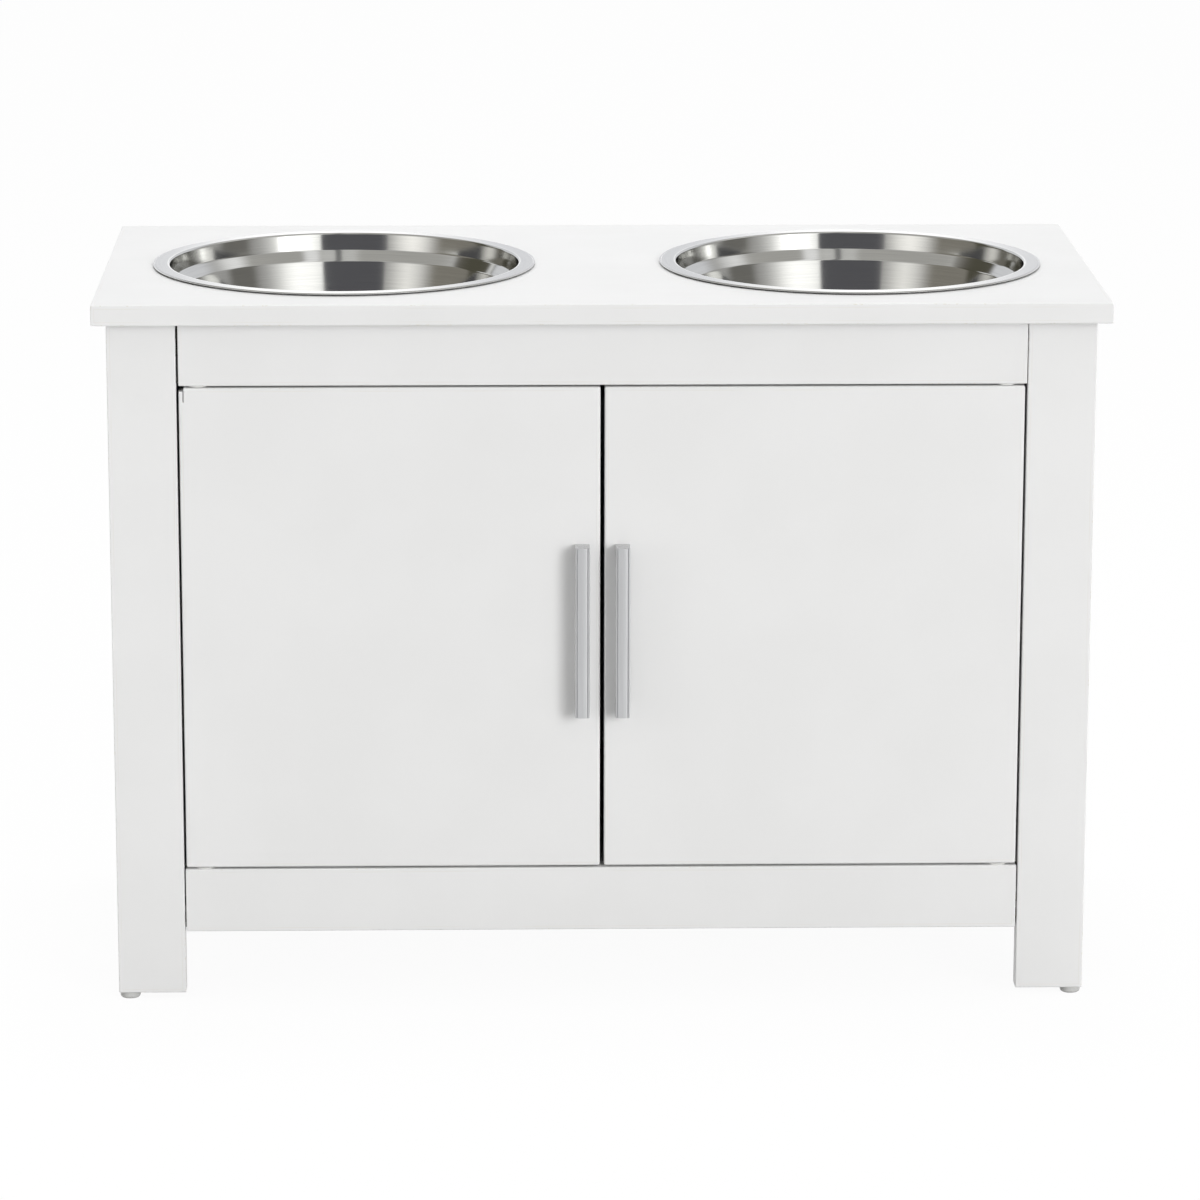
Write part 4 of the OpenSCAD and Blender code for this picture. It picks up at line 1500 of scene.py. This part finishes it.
@dataclass
class Studio:
    """The camera, the floor, the lamps and the surroundings."""

    eye: Vector = field(default_factory=lambda: Vector((-0.0965, -3.839, 1.176)))
    pitch: float = 0.2328
    turn: float = -0.0258
    roll: float = 0.0019
    focal_px: float = 5141.2
    frame_px: float = 1200.0
    floor_size: float = 60.0
    floor_white: float = 0.95
    floor_colour: Colour = (0.5, 0.5, 0.5)
    floor_seen: Colour = (0.95, 0.95, 0.95)
    floor_tone: float = 1.02
    lamps: tuple[Lamp, ...] = (
        Lamp(Vector((0.0, -0.16, 0.3)), 35.0, 15.0, 8.0, (4.6, 5.0), 480.0, False),
        Lamp(Vector((0.0, -0.16, 0.28)), 40.0, 2.0, 3.0, (0.8, 1.6), 20.0),
        Lamp(Vector((0.0, 0.1, 0.5)), 180.0, 80.0, 3.0, (1.6, 1.0), 66.0, False),
        Lamp(Vector((-0.35, -0.16, 0.3)), -65.0, 8.0, 1.2, (0.5, 0.9), 5.5, False),
    )
    ceiling_from: tuple[float, float] = (20.0, 50.0)
    low_light: Colour = (0.455, 0.452, 0.44)
    high_light: Colour = (0.8, 0.8, 0.79)
    panels: tuple[Panel, ...] = (
        Panel(180.0, 60.0, 10.0, 34.0, 8.0, (0.82, 0.83, 0.86)),
        Panel(180.0, 14.0, -1.0, 3.0, 1.0, (1.8, 1.8, 1.8)),
        Panel(30.0, 20.0, 12.0, 24.0, 16.0, (1.5, 1.5, 1.47)),
        Panel(-86.0, 24.0, 8.0, 26.0, 8.0, (0.28, 0.265, 0.23)),
        Panel(-45.0, 6.0, 6.0, 16.0, 12.0, (1.1, 1.09, 1.05)),
        Panel(80.0, 12.0, 8.0, 26.0, 5.0, (0.2, 0.195, 0.18)),
        Panel(-5.5, 22.5, 14.0, 22.0, 1.0, (0.12, 0.12, 0.13)),
        Panel(-115.0, 17.0, 14.0, 26.0, 3.0, (0.1, 0.095, 0.07)),
        Panel(-112.0, 14.0, 50.0, 14.0, 3.0, (0.16, 0.15, 0.13)),
        Panel(-122.0, 9.0, 19.0, 5.0, 1.0, (0.85, 0.85, 0.84)),
    )
    # Painted reflections: patches of the surroundings, bright and dark, that only glossy rays see, so they
    # light nothing.
    glints: tuple[Panel, ...] = (
        Panel(0.0, 190.0, 62.0, 22.0, 4.0, (0.5, 0.495, 0.47)),
        Panel(6.0, 18.0, 60.0, 26.0, 5.0, (0.69, 0.69, 0.67)),
        Panel(33.0, 7.0, 60.0, 26.0, 4.0, (1.05, 1.05, 1.05)),
        Panel(102.0, 10.0, 60.0, 26.0, 8.0, (1.1, 1.1, 1.1)),
        Panel(7.0, 3.0, 62.0, 26.0, 1.0, (0.2, 0.2, 0.2)),
        Panel(-46.0, 10.0, 2.0, 16.0, 14.0, (1.4, 1.38, 1.33)),
        Panel(34.0, 9.0, 4.0, 10.0, 9.0, (1.95, 1.95, 1.92)),
        Panel(181.6, 1.2, 10.0, 7.0, 0.9, (1.45, 1.45, 1.45)),
        Panel(175.5, 1.2, 10.0, 7.0, 0.9, (1.45, 1.45, 1.45)),
    )

    def camera(self) -> None:
        """Puts the camera where the photograph was taken from."""
        flat = Vector((-math.sin(self.turn), math.cos(self.turn), 0.0))
        level = Vector((math.cos(self.turn), math.sin(self.turn), 0.0))
        ahead = flat * math.cos(self.pitch) - UP * math.sin(self.pitch)
        upright = UP * math.cos(self.pitch) + flat * math.sin(self.pitch)
        right = level * math.cos(self.roll) + upright * math.sin(self.roll)
        above = upright * math.cos(self.roll) - level * math.sin(self.roll)
        data = bpy.data.cameras.new("view")
        data.sensor_width = 36.0
        data.lens = self.focal_px / self.frame_px * data.sensor_width
        data.clip_end = 200.0
        view = bpy.data.objects.new("view", data)
        turned = Matrix((right, above, -ahead)).transposed().to_4x4()
        view.matrix_world = Matrix.Translation(self.eye) @ turned
        bpy.context.scene.collection.objects.link(view)
        bpy.context.scene.camera = view

    def floor(self) -> None:
        """Lays the pale floor, which keeps the cabinet's shadow."""
        mesh = bmesh.new()
        bmesh.ops.create_grid(mesh, x_segments=1, y_segments=1, size=self.floor_size / 2)
        laid = place(mesh, "floor")
        material, sheet, shader = surface("floor")
        grain = sheet.noise(sheet.here(), 3.0, 2.0)
        direct = sheet.rays("Camera", "Transmission", "Glossy")
        laid_colour = sheet.mix(grain, self.floor_colour, toned(self.floor_colour, self.floor_tone))
        sheet.feed(shader.inputs["Base Color"], sheet.mix(direct, laid_colour, self.floor_seen))
        shader.inputs["Roughness"].default_value = 0.9
        shader.inputs["Specular IOR Level"].default_value = 0.0
        glow = sheet.add("ShaderNodeEmission")
        glow.inputs["Color"].default_value = (1.0, 1.0, 1.0, 1.0)
        out = next(n for n in material.node_tree.nodes if n.bl_idname == "ShaderNodeOutputMaterial")
        sheet.blend(sheet.calc("MULTIPLY", direct, self.floor_white), shader, glow, out)
        laid.data.materials.append(material)

    def light(self) -> None:
        """Hangs the soft boxes."""
        for number, lamp in enumerate(self.lamps):
            a, e = math.radians(lamp.azimuth), math.radians(lamp.elevation)
            out = Vector((math.sin(a) * math.cos(e), -math.cos(a) * math.cos(e), math.sin(e)))
            data = bpy.data.lights.new(f"soft_box_{number}", "AREA")
            data.shape = "RECTANGLE"
            data.use_nodes = True
            sheet = Sheet(data.node_tree)
            across, up, _ = sheet.split(sheet.add("ShaderNodeNewGeometry").outputs["Parametric"])
            fades = [sheet.ramp(sheet.apart(along, 0.5), 0.5, 0.2) for along in (across, up)]
            glow = sheet.add("ShaderNodeEmission")
            sheet.feed(glow.inputs["Strength"], sheet.calc("MULTIPLY", *fades))
            sheet.feed(sheet.add("ShaderNodeOutputLight").inputs["Surface"], glow.outputs[0])
            data.size, data.size_y = lamp.size
            data.energy = lamp.watts
            hung = bpy.data.objects.new(data.name, data)
            hung.location = lamp.target + out * lamp.distance
            hung.rotation_mode = "QUATERNION"
            hung.rotation_quaternion = (-out).to_track_quat("-Z", "Y")
            hung.visible_camera = False
            hung.visible_glossy = lamp.mirrored
            bpy.context.scene.collection.objects.link(hung)

    def surroundings(self) -> None:
        """Paints the studio round the cabinet: ceiling, walls, soft boxes and the camera's dark end."""
        world = bpy.data.worlds.new("studio")
        world.use_nodes = True
        bpy.context.scene.world = world
        sheet = Sheet(world.node_tree)
        x, y, z = sheet.split(sheet.add("ShaderNodeTexCoord").outputs["Generated"])
        azimuth = sheet.calc("DEGREES", sheet.calc("ARCTAN2", x, sheet.calc("MULTIPLY", y, -1.0)))
        elevation = sheet.calc("DEGREES", sheet.calc("ARCSINE", z))
        colour = sheet.mix(sheet.ramp(elevation, *self.ceiling_from), self.low_light, self.high_light)
        glossy = sheet.rays("Glossy")
        for panel in (*self.panels, *self.glints):
            turn = sheet.calc("WRAP", sheet.calc("SUBTRACT", azimuth, panel.azimuth), 180.0, -180.0)
            away = sheet.calc("ABSOLUTE", turn)
            above = sheet.apart(elevation, panel.elevation)
            share = sheet.calc("MULTIPLY", *[
                sheet.ramp(off, half + panel.softness, half - panel.softness)
                for off, half in ((away, panel.half_width), (above, panel.half_height))])
            if panel in self.glints:
                share = sheet.calc("MULTIPLY", share, glossy)
            colour = sheet.mix(share, colour, panel.light)
        studio, white = sheet.add("ShaderNodeBackground"), sheet.add("ShaderNodeBackground")
        sheet.feed(studio.inputs["Color"], colour)
        white.inputs["Color"].default_value = (1.0, 1.0, 1.0, 1.0)
        sheet.blend(sheet.rays("Camera", "Transmission"), studio, white, sheet.add("ShaderNodeOutputWorld"))

    def build(self) -> None:
        """Sets the whole studio."""
        self.camera()
        self.floor()
        self.light()
        self.surroundings()
        bpy.context.scene.view_settings.view_transform = "Standard"


# ---- The whole feeder ----


def main() -> None:
    logging.basicConfig(level=logging.INFO, format="%(name)s: %(message)s")
    Studio().build()
    foil = WhiteFoil()
    zinc = ZincPlate().material()
    turned = TurnedTree()
    TopPanel(foil).build()
    front = FrontFrame(foil)
    front.build()
    Carcass(foil).build()
    for side in Side:
        Door(side, foil, SatinMetal(), zinc, turned).build()
        Bowl(side, PolishedSteel(), turned).build()
    Fittings(zinc, WHITE_PLASTIC.material(), GREY_PLASTIC.material(), FERRITE.material(),
             Beech().material(front.joints()), turned).build()


if __name__ == "__main__":
    main()
